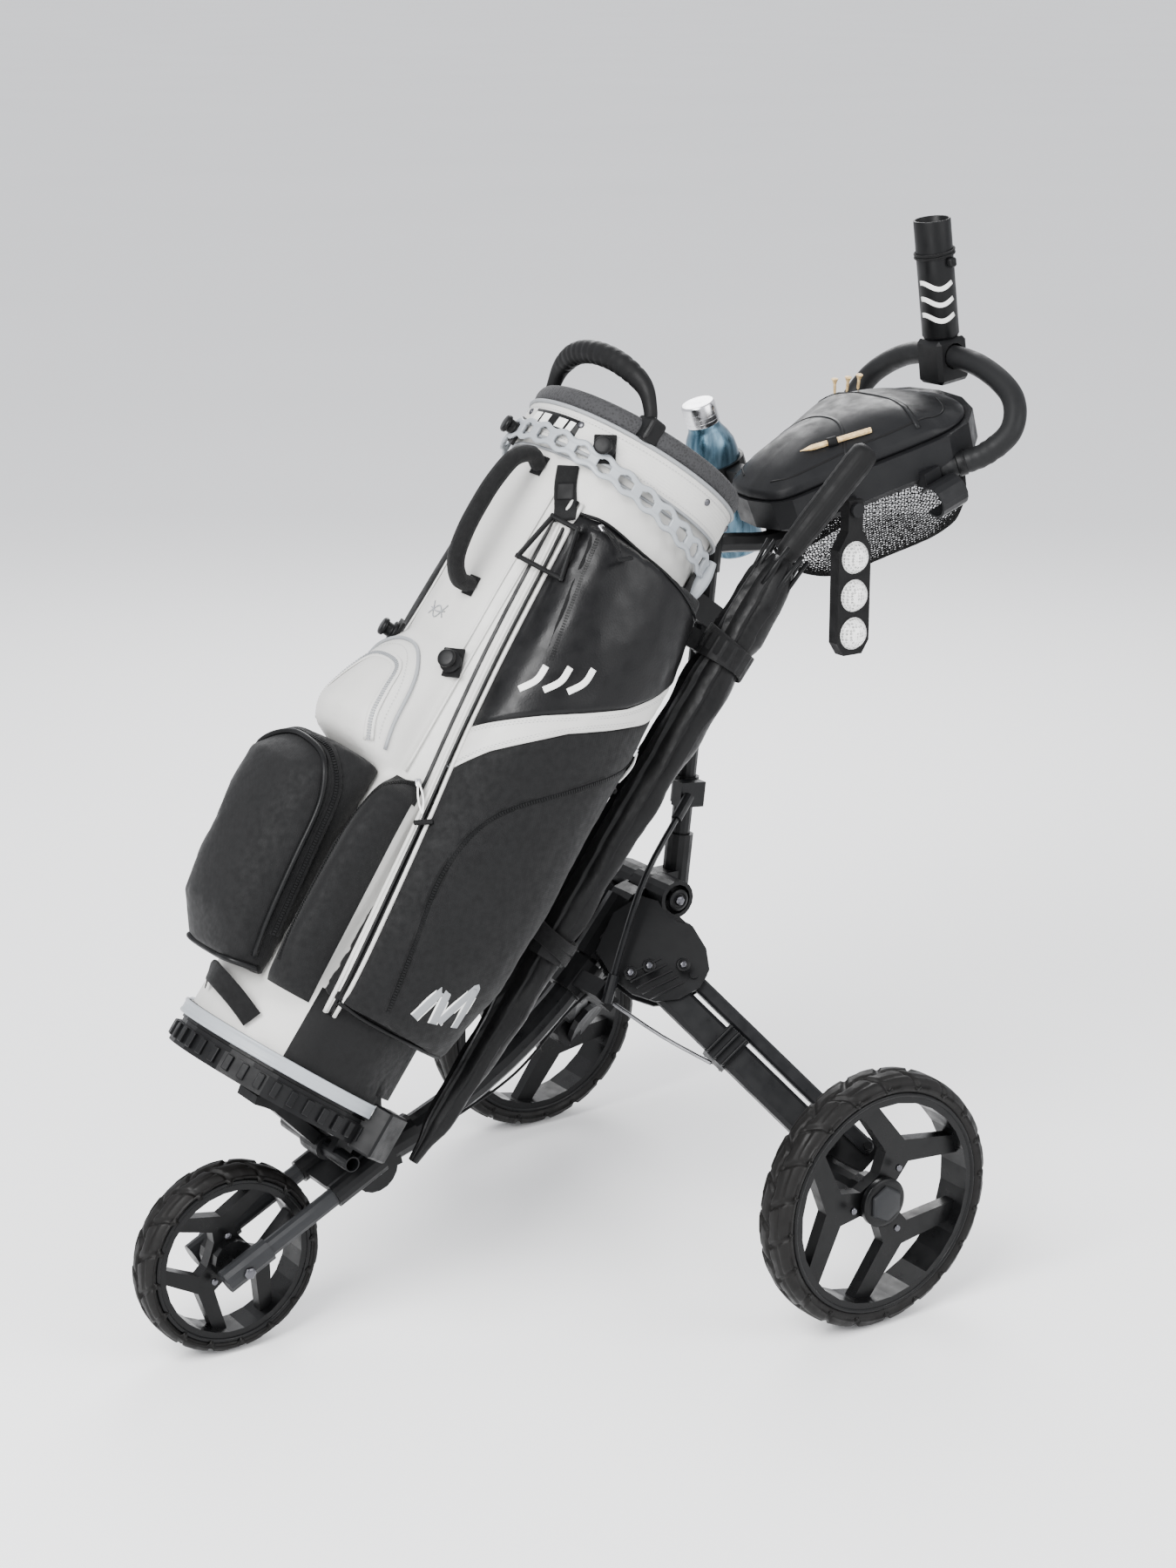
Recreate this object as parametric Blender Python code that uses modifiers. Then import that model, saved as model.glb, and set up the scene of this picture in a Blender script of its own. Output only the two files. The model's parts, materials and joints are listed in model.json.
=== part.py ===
"""Golf bag strapped to a three-wheeled push cart.

Metres, +Z up, +Y towards the handle, +X to the cart's left-hand side.
The origin is on the ground, under the middle of the cart.
Every sub-part is one object on the joint empty of the body that it moves with.
"""
import math

import bmesh
import bpy
from mathutils import Matrix, Vector

# ---------------------------------------------------------------- driving sizes
GAP = 0.0003              # clearance between neighbouring pieces
SHIFT_Y = -0.1464

REAR_AXLE_Y = 0.3289      # axles, measured from the middle of the wheelbase
FRONT_AXLE_Y = -0.3289
TRACK = 0.7300            # between the middles of the rear tyres
REAR_TYRE_R = 0.1560
REAR_TYRE_WIDTH = 0.0530
REAR_RIM_R = 0.1335
FRONT_TYRE_R = 0.1134
FRONT_TYRE_WIDTH = 0.0485
FRONT_RIM_R = 0.0975
RIM_WALL = 0.0105         # radial thickness of a rim's ring
AXLE_R = 0.0055
WHEEL_STEPS = 28

SPINE_Y = -0.2888         # centre of the arc that the main tube follows
SPINE_Z = 0.8134
SPINE_ARC_R = 0.6387
SPINE_TUBE_R = 0.0180
SPINE_START = -77.45      # degrees along that arc, from the front hinge ...
SPINE_END = -37.4         # ... up to the folding hub
SLIDER_AT = -45.9         # middle of the sliding collar at rest
SLIDER_LENGTH = 0.0440
SLIDER_R = 0.0260
STAY_EYE_DROP = 0.0410    # stay eyes lie this far below the tube's axis
STAY_EYE_X = 0.0360
STAY_R = 0.0025

HINGE_BARREL_R = 0.0280   # front hinge
HINGE_PIN_R = 0.0060
KNUCKLE_HALF = 0.0195
FORK_X = 0.0420           # fork legs, from the centre plane
FORK_TUBE_R = 0.0110
FORK_SLEEVE_R = 0.0145
FRONT_AXLE_R = 0.0040

HUB_Y = 0.2660            # barrel of the folding hub
HUB_Z = 0.4480
HUB_BARREL_R = 0.0235
HUB_HALF = 0.0560
UPPER_KNUCKLE_HALF = 0.0150

LEG_PIVOT = (0.0800, 0.2060, 0.3780)      # left leg's pivot, on the wing's outer face
LEG_DIRECTION = (0.680, 0.399, -0.615)    # down the leg
FOLD_SLOPE = 40.0                         # legs fold down to lie along this slope
LEG_LENGTH = 0.2900                       # pivot to pivot
LEG_HALF = 0.0185
LEG_TOP = -0.0060                         # heights in the wing's own frame
LEG_BOTTOM = -0.0280
STRUT_PIVOT = (0.0438, 0.0335)            # along and across the leg, from its pivot
STRUT_HALF = 0.0090
WING_THICK = 0.0055
BOLT_R = 0.0050
COLLAR_AT = 0.1320                        # stay collar, down the leg

UPPER_FOOT = (0.0, 0.3030, 0.4560)        # upper tube's axis, bottom and top
UPPER_HEAD = (0.0, 0.3520, 0.8800)
UPPER_TUBE_R = 0.0125

BAG_BASE = (0.0, -0.2492, 0.3226)         # middle of the bag's bottom
BAG_TILT = 36.4                           # lean from the vertical, towards the handle
BAG_R = 0.1280
BAG_WALL = 0.0060
BAG_HEIGHT = 0.8150
BAG_FOOT = 0.0200
BAG_SIDES = 28
CUFF_R = 0.1345
CUFF_LOW = 0.7700
COLLAR_TOP = 0.8400
CRADLE_THICK = 0.0100

CONSOLE_FRONT = (0.0, 0.4220, 0.9210)
CONSOLE_SLOPE = 20.0
CONSOLE_MIDDLE = (0.0, 0.1500)            # outlines shrink towards this point
TRAY_DEPTH = 0.0480

# ---------------------------------------------------------------- bookkeeping
PARTS = "golf_bag_on_push_cart"
CUTTERS = "cutters"
FRAMES = {}


def clear_scene():
    for item in list(bpy.data.objects):
        bpy.data.objects.remove(item, do_unlink=True)
    for name in (PARTS, CUTTERS):
        group = bpy.data.collections.new(name)
        bpy.context.scene.collection.children.link(group)


def material(name, colour, roughness, metallic=0.0):
    made = bpy.data.materials.new(name)
    made.use_nodes = True
    shader = made.node_tree.nodes["Principled BSDF"]
    shader.inputs["Base Color"].default_value = (*colour, 1.0)
    shader.inputs["Roughness"].default_value = roughness
    shader.inputs["Metallic"].default_value = metallic
    made.diffuse_color = (*colour, 1.0)
    return made


def own_material(item, kind):
    """Give a sub-part its own material of one of the kinds below."""
    colour, roughness, metallic = KINDS[kind]
    item.data.materials.clear()
    item.data.materials.append(material(f"{item.name}_{kind}", colour, roughness, metallic))


KINDS = {
    "black_plastic": ((0.025, 0.025, 0.028), 0.45, 0.0),
    "charcoal_plastic": ((0.060, 0.060, 0.065), 0.50, 0.0),
    "painted_tube": ((0.030, 0.030, 0.032), 0.38, 0.3),
    "steel": ((0.55, 0.55, 0.56), 0.30, 1.0),
    "tyre": ((0.045, 0.040, 0.038), 0.65, 0.0),
    "rim": ((0.020, 0.020, 0.022), 0.35, 0.0),
    "grey_silicone": ((0.52, 0.56, 0.58), 0.45, 0.0),
    "off_white_leather": ((0.78, 0.79, 0.74), 0.60, 0.0),
    "black_fabric": ((0.018, 0.018, 0.020), 0.75, 0.0),
    "black_mesh": ((0.012, 0.012, 0.013), 0.85, 0.0),
    "black_rubber": ((0.030, 0.030, 0.032), 0.60, 0.0),
    "white_ball": ((0.85, 0.86, 0.86), 0.25, 0.0),
    "blue_metal": ((0.16, 0.27, 0.33), 0.28, 1.0),
}


def place(item, frame, parent, kind=None, tool=False):
    """Link an object, stand it on a frame of the cart and hang it on a parent empty."""
    bpy.data.collections[CUTTERS if tool else PARTS].objects.link(item)
    if parent:
        item.parent = bpy.data.objects[parent]
        item.matrix_basis = FRAMES[parent].inverted() @ frame
    else:
        item.matrix_basis = frame
    FRAMES[item.name] = frame
    if tool:
        item.hide_render = True
        item.display_type = "WIRE"
    elif kind:
        own_material(item, kind)
    return item


def empty(name, frame, parent=None):
    """A joint or frame empty."""
    return place(bpy.data.objects.new(name, None), frame, parent)


def shift(x, y, z):
    return Matrix.Translation((x, y, z))


def turn(degrees, axis):
    return Matrix.Rotation(math.radians(degrees), 4, axis)


def axes_frame(origin, x_axis, z_axis):
    """A frame with its X along one direction and its Z as near as possible to another."""
    x = Vector(x_axis).normalized()
    y = Vector(z_axis).cross(x).normalized()
    z = x.cross(y)
    rotation = Matrix((x, y, z)).transposed().to_4x4()
    return Matrix.Translation(origin) @ rotation


def along(a, b):
    """A frame at a, with its Z towards b."""
    a, b = Vector(a), Vector(b)
    z = (b - a).normalized()
    side = Vector((1, 0, 0)) if abs(z.x) < 0.9 else Vector((0, 1, 0))
    x = (side - z * side.dot(z)).normalized()
    return Matrix.Translation(a) @ Matrix((x, z.cross(x), z)).transposed().to_4x4()


def point(vector):
    """A cart position as a world one."""
    return FRAMES["cart"] @ Vector(vector)


# ---------------------------------------------------------------- solids
def mesh_object(name, bm, frame, parent, kind=None, tool=False):
    bmesh.ops.recalc_face_normals(bm, faces=bm.faces)
    data = bpy.data.meshes.new(name)
    bm.to_mesh(data)
    bm.free()
    return place(bpy.data.objects.new(name, data), frame, parent, kind, tool)


def rounded(item, width, segments=1):
    bevel = item.modifiers.new("rounding", "BEVEL")
    bevel.width = width
    bevel.segments = segments
    bevel.limit_method = "ANGLE"
    return item


def smooth(item, angle=35.0):
    item.data.shade_smooth()
    item.data.set_sharp_from_angle(angle=math.radians(angle))
    return item


def cylinder(name, radius, low, high, frame, parent, kind=None, tool=False, sides=14, top=None):
    """A cylinder or cone along the frame's Z, from low to high."""
    bm = bmesh.new()
    middle = shift(0, 0, (low + high) / 2)
    bmesh.ops.create_cone(bm, cap_ends=True, segments=sides, radius1=radius,
                          radius2=radius if top is None else top, depth=high - low, matrix=middle)
    item = mesh_object(name, bm, frame, parent, kind, tool)
    return smooth(item)


def block(name, low, high, frame, parent, kind=None, tool=False, bevel=0.0):
    bm = bmesh.new()
    low, high = Vector(low), Vector(high)
    size = high - low
    stretch = Matrix.Translation((low + high) / 2) @ Matrix.Diagonal((*size, 1))
    bmesh.ops.create_cube(bm, size=1, matrix=stretch)
    item = mesh_object(name, bm, frame, parent, kind, tool)
    return rounded(item, bevel) if bevel else item


def turned(name, profile, frame, parent, kind=None, tool=False, steps=32, start=0.0):
    """A closed ring profile of (radius, height), outer side first and downwards, turned about Z."""
    data = bpy.data.meshes.new(name)
    start = math.radians(start)
    corners = [(r * math.cos(start), r * math.sin(start), h) for r, h in profile]
    edges = [(i, (i + 1) % len(corners)) for i in range(len(corners))]
    data.from_pydata(corners, edges, [])
    item = place(bpy.data.objects.new(name, data), frame, parent, kind, tool)
    screw = item.modifiers.new("turning", "SCREW")
    screw.steps = screw.render_steps = steps
    screw.use_merge_vertices = True
    screw.merge_threshold = 0.0001
    screw.use_smooth_shade = True
    return item


def ring(name, outer, inner, low, high, frame, parent, kind=None, tool=False, steps=24):
    profile = [(outer, high), (outer, low), (inner, low), (inner, high)]
    return turned(name, profile, frame, parent, kind, tool, steps)


def plate(name, outline, low, high, frame, parent, kind=None, tool=False, bevel=0.0):
    """A flat outline in the frame's XY, from low to high along Z."""
    bm = bmesh.new()
    face = bm.faces.new([bm.verts.new((x, y, low)) for x, y in outline])
    grown = bmesh.ops.extrude_face_region(bm, geom=[face])["geom"]
    tops = [v for v in grown if isinstance(v, bmesh.types.BMVert)]
    bmesh.ops.translate(bm, verts=tops, vec=(0, 0, high - low))
    item = mesh_object(name, bm, frame, parent, kind, tool)
    return rounded(item, bevel) if bevel else item


def loft(name, rings, frame, parent, kind=None, tool=False):
    """Skin closed rings of points, one after the other, and cap both ends."""
    bm = bmesh.new()
    rows = [[bm.verts.new(p) for p in row] for row in rings]
    count = len(rows[0])
    for low, high in zip(rows, rows[1:]):
        for i in range(count):
            j = (i + 1) % count
            bm.faces.new((low[i], low[j], high[j], high[i]))
    bm.faces.new(rows[0][::-1])
    bm.faces.new(rows[-1])
    return smooth(mesh_object(name, bm, frame, parent, kind, tool))


def spline(points, spans):
    """Points on a smooth curve (Catmull-Rom) through the given ones."""
    path = [Vector(p) for p in points]
    ends = [2 * path[0] - path[1], *path, 2 * path[-1] - path[-2]]
    made = []
    for a, b, c, d in zip(ends, ends[1:], ends[2:], ends[3:]):
        for k in range(spans):
            t = k / spans
            made.append(0.5 * (2 * b + (c - a) * t + (2 * a - 5 * b + 4 * c - d) * t * t
                               + (3 * b - a - 3 * c + d) * t ** 3))
    return [*made, path[-1]]


def pipe(name, points, radius, frame, parent, kind=None, tool=False, roundness=2):
    """A round bar along a path, made from a bevelled curve and turned into a mesh."""
    data = bpy.data.curves.new(name, "CURVE")
    data.dimensions = "3D"
    data.bevel_depth = radius
    data.bevel_resolution = roundness
    data.use_fill_caps = True
    line = data.splines.new("POLY")
    line.points.add(len(points) - 1)
    for knot, p in zip(line.points, points):
        knot.co = (*p, 1)
    guide = bpy.data.objects.new(name + "_guide", data)
    bpy.data.collections[CUTTERS].objects.link(guide)
    bpy.context.view_layer.update()
    graph = bpy.context.evaluated_depsgraph_get()
    made = bpy.data.meshes.new_from_object(guide.evaluated_get(graph))
    bpy.data.objects.remove(guide, do_unlink=True)
    bm = bmesh.new()
    bm.from_mesh(made)
    bpy.data.meshes.remove(made)
    bmesh.ops.remove_doubles(bm, verts=bm.verts, dist=0.00001)
    return smooth(mesh_object(name, bm, frame, parent, kind, tool), 60.0)


def combine(item, tool, operation):
    change = item.modifiers.new(operation.lower() + "_" + tool.name, "BOOLEAN")
    change.operation = operation
    change.solver = "EXACT"
    change.object = tool
    return item


def join(item, *tools):
    for tool in tools:
        combine(item, tool, "UNION")
    return item


def cut(item, *tools):
    for tool in tools:
        combine(item, tool, "DIFFERENCE")
    return item


def arc_points(radius, first, last, count, centre=(0, 0)):
    """Points of a flat arc, angles in degrees."""
    step = (last - first) / (count - 1)
    angles = [math.radians(first + i * step) for i in range(count)]
    return [(centre[0] + radius * math.cos(a), centre[1] + radius * math.sin(a)) for a in angles]


def stadium(length, half, sides=5):
    """A round-ended bar outline from (0, 0) to (length, 0)."""
    return [*arc_points(half, 90, 270, sides), *arc_points(half, -90, 90, sides, (length, 0))]


# ---------------------------------------------------------------- shared geometry
def spine_point(degrees, drop=0.0, x=0.0):
    """A point on the main tube's arc, or below it by drop."""
    a = math.radians(degrees)
    r = SPINE_ARC_R + drop
    return Vector((x, SPINE_Y + r * math.cos(a), SPINE_Z + r * math.sin(a)))


def spine_frame(degrees):
    """Z up the tube, Y away from the bag (downwards), X across the cart."""
    return FRAMES["cart"] @ shift(*spine_point(degrees)) @ turn(degrees, "X")


def mirrored(vector, side):
    return Vector((side * vector[0], vector[1], vector[2]))


def fold_axes(side):
    """Leg direction, and the wing plane's outward normal, for one side."""
    leg = mirrored(LEG_DIRECTION, side).normalized()
    slope = math.radians(FOLD_SLOPE)
    down = Vector((0, -math.cos(slope), -math.sin(slope)))
    normal = down.cross(leg) * side
    return leg, normal.normalized()


def leg_frame(side):
    """At a leg's pivot: X down the leg, Y to the strut, Z out of the wing on the left, into it on the right."""
    leg, normal = fold_axes(side)
    return FRAMES["cart"] @ axes_frame(mirrored(LEG_PIVOT, side), leg, normal * side)


def side_name(side):
    return "left" if side > 0 else "right"


def across(side, low, high):
    """Heights above the wing's outer face, as an ordered range of the leg frame's Z."""
    return tuple(sorted((side * low, side * high)))


def wheel_frame(x, y, z):
    """Z along the axle, towards the cart's left."""
    return FRAMES["cart"] @ shift(x, y, z) @ turn(90, "Y")


# ---------------------------------------------------------------- wheels
def spider_outline(rim, phase):
    """Three Y-shaped spokes round a hub, as one flat outline."""
    hub, neck, fork, crotch = 0.026, 0.030, 0.46 * rim, 0.60 * rim
    arm = [(hub, -52), (neck, -30), (fork, -20), (rim, -46), (rim, -35), (crotch, 0),
           (rim, 35), (rim, 46), (fork, 20), (neck, 30), (hub, 52)]
    outline = []
    for base in (phase, phase + 120, phase + 240):
        for radius, angle in arm:
            a = math.radians(base + angle)
            outline.append((radius * math.cos(a), radius * math.sin(a)))
    return outline


def wheel(prefix, centre, tyre_r, width, rim_r, axle_r, phase, parent):
    """A tyre and a three-spoke rim; the tyre stands on the flat of one of its facets."""
    frame = wheel_frame(*centre)
    half_step = 180.0 / WHEEL_STEPS
    tread = tyre_r / math.cos(math.radians(half_step))
    half = width / 2
    tyre = [(tread * 0.955, half), (tread, 0.30 * width), (tread, -0.30 * width), (tread * 0.955, -half),
            (rim_r, 0.003 - half), (rim_r, half - 0.003)]
    turned(prefix + "_tyre", tyre, frame, parent, "tyre", steps=WHEEL_STEPS, start=half_step)
    outer, inner = rim_r - GAP, rim_r - RIM_WALL
    band = [(outer, half - 0.004), (outer, 0.004 - half), (inner, 0.004 - half), (inner, half - 0.004)]
    rim = turned(prefix + "_rim", band, frame, parent, "rim", steps=WHEEL_STEPS, start=half_step)
    spokes = plate(prefix + "_spokes", spider_outline(inner + 0.004, phase), -0.008, 0.008, frame, parent,
                   tool=True)
    hub = cylinder(prefix + "_hub", 0.0245, -0.42 * width, 0.42 * width, frame, parent, tool=True)
    bore = cylinder(prefix + "_bore", axle_r + GAP, -width, width, frame, parent, tool=True, sides=12)
    cut(join(rim, spokes, hub), bore)


# ---------------------------------------------------------------- main tube, hinge and cradle
def main_tube():
    angles = [SPINE_START + 3.2 + i * (SPINE_END - SPINE_START - 3.2) / 9 for i in range(10)]
    path = [spine_point(a) for a in angles]
    pipe("main_tube", path, SPINE_TUBE_R, FRAMES["cart"], "cart", "painted_tube", roundness=4)


def spine_cutter(name, first, last):
    path = [spine_point(first + i * (last - first) / 4) for i in range(5)]
    return pipe(name, path, SPINE_TUBE_R + GAP * 2, FRAMES["cart"], "cart", tool=True, roundness=4)


def hinge_frame():
    """At the front hinge, with Z along its pin."""
    return wheel_frame(*spine_point(SPINE_START))


def lower_knuckle():
    """The main tube's front end: hinge barrel, tube socket and the post under the cradle."""
    frame = hinge_frame()
    knuckle = cylinder("lower_knuckle", HINGE_BARREL_R, -KNUCKLE_HALF, KNUCKLE_HALF, frame, "cart",
                       "black_plastic")
    a, b = spine_point(SPINE_START + 3.0), spine_point(SPINE_START + 6.5)
    socket = cylinder("knuckle_socket", 0.0225, 0, (b - a).length, along(point(a), point(b)), "cart",
                      tool=True)
    neck = block("knuckle_neck", (-KNUCKLE_HALF, -0.0200, 0.0), (KNUCKLE_HALF, 0.0200, 0.0360),
                 spine_frame(SPINE_START + 0.6), "cart", tool=True)
    post = block("knuckle_post", (-0.0170, 0.120, -0.060), (0.0170, 0.176, -CRADLE_THICK - 2 * GAP),
                 FRAMES["bag"], "bag", tool=True)
    pins = cylinder("hinge_pin", HINGE_PIN_R, -0.0400, 0.0400, frame, "cart", tool=True, sides=12)
    join(knuckle, neck, socket, post)
    cut(knuckle, spine_cutter("knuckle_tube", SPINE_START + 3.1, SPINE_START + 8))
    join(knuckle, pins)


def rim_teeth(name, radius, low, high, first, last, count, frame, parent):
    """Narrow slots cut through a band, as one comb-shaped cutter."""
    comb = ring(name, radius + 0.004, radius - 0.0005, low, low + 0.002, frame, parent, tool=True)
    step = (last - first) / (count - 1)
    for i in range(count):
        slot_frame = frame @ turn(first + i * step, "Z")
        slot = block(f"{name}_{i}", (radius - 0.001, -0.0022, low), (radius + 0.012, 0.0022, high),
                     slot_frame, parent, tool=True)
        join(comb, slot)
    return comb


def lower_cradle():
    """A round tray under the bag with a toothed rim, and two lugs that carry the cross tube."""
    bag = FRAMES["bag"]
    rim_outer, rim_inner = BAG_R + 0.0040, BAG_R - 0.0080
    cradle = cylinder("lower_cradle", rim_outer - 0.0030, -CRADLE_THICK, -2 * GAP, bag, "bag", "black_plastic",
                      sides=26)
    band = ring("cradle_band", rim_outer, rim_inner, -0.0300, -0.0060, bag, "bag", tool=True, steps=28)
    notch = block("cradle_notch", (-0.0700, 0.060, -0.040), (0.0700, 0.150, -CRADLE_THICK - 0.0005), bag,
                  "bag", tool=True)
    cut(join(cradle, band), notch)
    tube = FRAMES["cross_tube_axis"]
    for side in (1, -1):
        lug = block(f"cradle_lug_{side}", (-0.0120, -0.006, 0.0), (0.0120, 0.006, 0.0500), lug_frame(side), "bag",
                    tool=True)
        join(cradle, lug)
    bore = cylinder("cradle_bore", CROSS_TUBE_R + GAP, -0.09, 0.09, tube, "bag", tool=True, sides=16)
    cut(cradle, bore)
    cradle_clamp(cradle)


CROSS_TUBE = (0.0, 0.0950, -0.0530)       # in the bag's frame
CROSS_TUBE_R = 0.0095
LUG_X = 0.0420


def lug_frame(side):
    """At the cross tube, Z up to the cradle, Y along the tube."""
    return FRAMES["bag"] @ shift(side * LUG_X, CROSS_TUBE[1], CROSS_TUBE[2]) @ turn(90, "Z")


def cross_tube():
    ring("cross_tube", CROSS_TUBE_R, CROSS_TUBE_R - 0.0016, -0.0780, 0.0780, FRAMES["cross_tube_axis"],
         "bag", "painted_tube", steps=16)


def foot_pedal():
    """A foot lever that turns on the cross tube, with a broad tread at its tip."""
    frame = FRAMES["pedal_joint"]
    pedal = ring("foot_pedal", 0.0150, CROSS_TUBE_R + GAP, -0.0200, 0.0200, frame, "pedal_joint",
                 "black_plastic", steps=16)
    arm = plate("pedal_arm", [(-0.004, -0.0135), (-0.058, -0.0640), (-0.0720, -0.0860), (-0.0790, -0.0820),
                              (-0.0700, -0.0560), (-0.0110, 0.0)], -0.0130, 0.0130, frame, "pedal_joint",
                tool=True)
    tread = plate("pedal_tread", [(-0.0600, -0.0620), (-0.0760, -0.0930), (-0.0850, -0.0890),
                                  (-0.0730, -0.0580)], -0.0210, 0.0210, frame, "pedal_joint", tool=True)
    relief = cylinder("pedal_relief", CROSS_TUBE_R + GAP, -0.03, 0.03, frame, "pedal_joint", tool=True,
                      sides=16)
    cut(join(pedal, arm, tread), relief)


def lower_strap():
    """Silicone band round the front of the bag's foot, with a round knob at its free end."""
    bag = FRAMES["bag"]
    inner = BAG_R + 0.0042
    strap = band_sector("lower_strap", inner, inner + 0.0030, 0.0040, 0.0200, -152, 22, bag, "bag",
                        "grey_silicone", 18)
    x, y = arc_points(inner + 0.004, -150, -150.1, 2)[0]
    knob_frame = bag @ shift(x, y, 0.013) @ turn(-150, "Z") @ turn(90, "Y")
    knob = cylinder("strap_knob", 0.0120, -0.0035, 0.0080, knob_frame, "bag", tool=True, sides=16)
    join(strap, knob)


def band_sector(name, inner, outer, low, high, first, last, frame, parent, kind=None, count=16, tool=False,
                slant=0.0):
    """Part of a ring round the frame's Z; slant lowers it towards +Y."""
    rings = []
    for i in range(count):
        angle = math.radians(first + (last - first) * i / (count - 1))
        c, s = math.cos(angle), math.sin(angle)
        rings.append([(r * c, r * s, h - slant * r * s)
                      for r, h in ((inner, low), (outer, low), (outer, high), (inner, high))])
    return loft(name, rings, frame, parent, kind, tool)


def cradle_clamp(cradle):
    """The clamp that holds the strap's fixed end, moulded on the cradle's near side."""
    bag = FRAMES["bag"]
    x, y = arc_points(BAG_R + 0.0160, 31, 31.1, 2)[0]
    frame = bag @ shift(x, y, 0) @ turn(31, "Z")
    clamp = block("cradle_clamp", (-0.0200, -0.0250, -0.0340), (0.0120, 0.0260, 0.0230), frame, "bag",
                  tool=True, bevel=0.0025)
    seat = cylinder("clamp_seat", BAG_R + 0.0044, -2 * GAP, 0.05, bag, "bag", tool=True, sides=28)
    cut(clamp, seat)
    slot = band_sector("clamp_slot", BAG_R + 0.0036, BAG_R + 0.0042 + 0.0038, 0.0034, 0.0206, 10, 23, bag,
                       "bag", count=6, tool=True)
    join(cradle, clamp)
    cut(cradle, slot)


# ---------------------------------------------------------------- fork
def fork():
    """The folding front fork: yoke, two legs and the axle."""
    pivot = hinge_frame()
    axle = Vector((0, FRONT_AXLE_Y, FRONT_TYRE_R))
    rise = Vector((0, 0.1439, 0.0706)).normalized()
    yoke = cylinder("fork_yoke", HINGE_BARREL_R + 0.0020, -0.0360, 0.0360, pivot, "fork_joint",
                    "black_plastic", sides=18)
    top, low = axle + rise * 0.1960, axle + rise * 0.1330
    web = block("yoke_web", (-0.0400, -0.0040, 0.0030), (0.0400, 0.0040, 0.0340), along(point(low), point(top)),
                "fork_joint", tool=True)
    join(yoke, web)
    for side in (1, -1):
        offset = Vector((side * FORK_X, 0, 0))
        frame = along(point(low + offset), point(top + offset))
        socket = cylinder(f"yoke_socket_{side}", FORK_SLEEVE_R, 0, 0.0700, frame, "fork_joint", tool=True)
        join(yoke, socket)
    for side in (1, -1):
        offset = Vector((side * FORK_X, 0, 0))
        frame = along(point(low + offset), point(top + offset))
        bore = cylinder(f"yoke_bore_{side}", FORK_TUBE_R + GAP, -0.01, 0.0450, frame, "fork_joint", tool=True)
        cut(yoke, bore)
    clear = cylinder("yoke_clear", HINGE_BARREL_R + 0.0040, -KNUCKLE_HALF - GAP, KNUCKLE_HALF + GAP, pivot,
                     "fork_joint", tool=True, sides=18)
    pin = cylinder("yoke_pin_bore", HINGE_PIN_R + GAP, -0.05, 0.05, pivot, "fork_joint", tool=True, sides=12)
    cut(yoke, clear, pin)
    for side in (1, -1):
        fork_leg(side, axle, rise)
    cylinder("front_axle", FRONT_AXLE_R, -0.0600, 0.0600, wheel_frame(*axle), "fork_joint", "steel", sides=12)


def fork_leg(side, axle, rise):
    """A fork tube with its moulded end sleeve, bored for the axle."""
    offset = Vector((side * FORK_X, 0, 0))
    frame = along(point(axle + offset), point(axle + offset + rise))
    leg = cylinder(f"fork_leg_{side_name(side)}", FORK_TUBE_R, -0.010, 0.1770, frame, "fork_joint",
                   "painted_tube")
    sleeve = cylinder(f"fork_sleeve_{side}", FORK_SLEEVE_R, -0.0260, 0.0360, frame, "fork_joint", tool=True)
    bore = cylinder(f"fork_axle_bore_{side}", FRONT_AXLE_R + GAP, -0.08, 0.08, wheel_frame(*axle),
                    "fork_joint", tool=True, sides=12)
    cut(join(leg, sleeve), bore)


# ---------------------------------------------------------------- folding hub and legs
WING_OUTLINE = [(-0.060, -0.028), (-0.022, -0.038), (0.008, -0.035), (0.034, -0.022), (0.052, 0.000),
                (0.060, 0.028), (0.053, 0.052), (0.032, 0.068), (0.002, 0.076), (-0.040, 0.074),
                (-0.070, 0.058), (-0.078, 0.020)]


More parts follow.
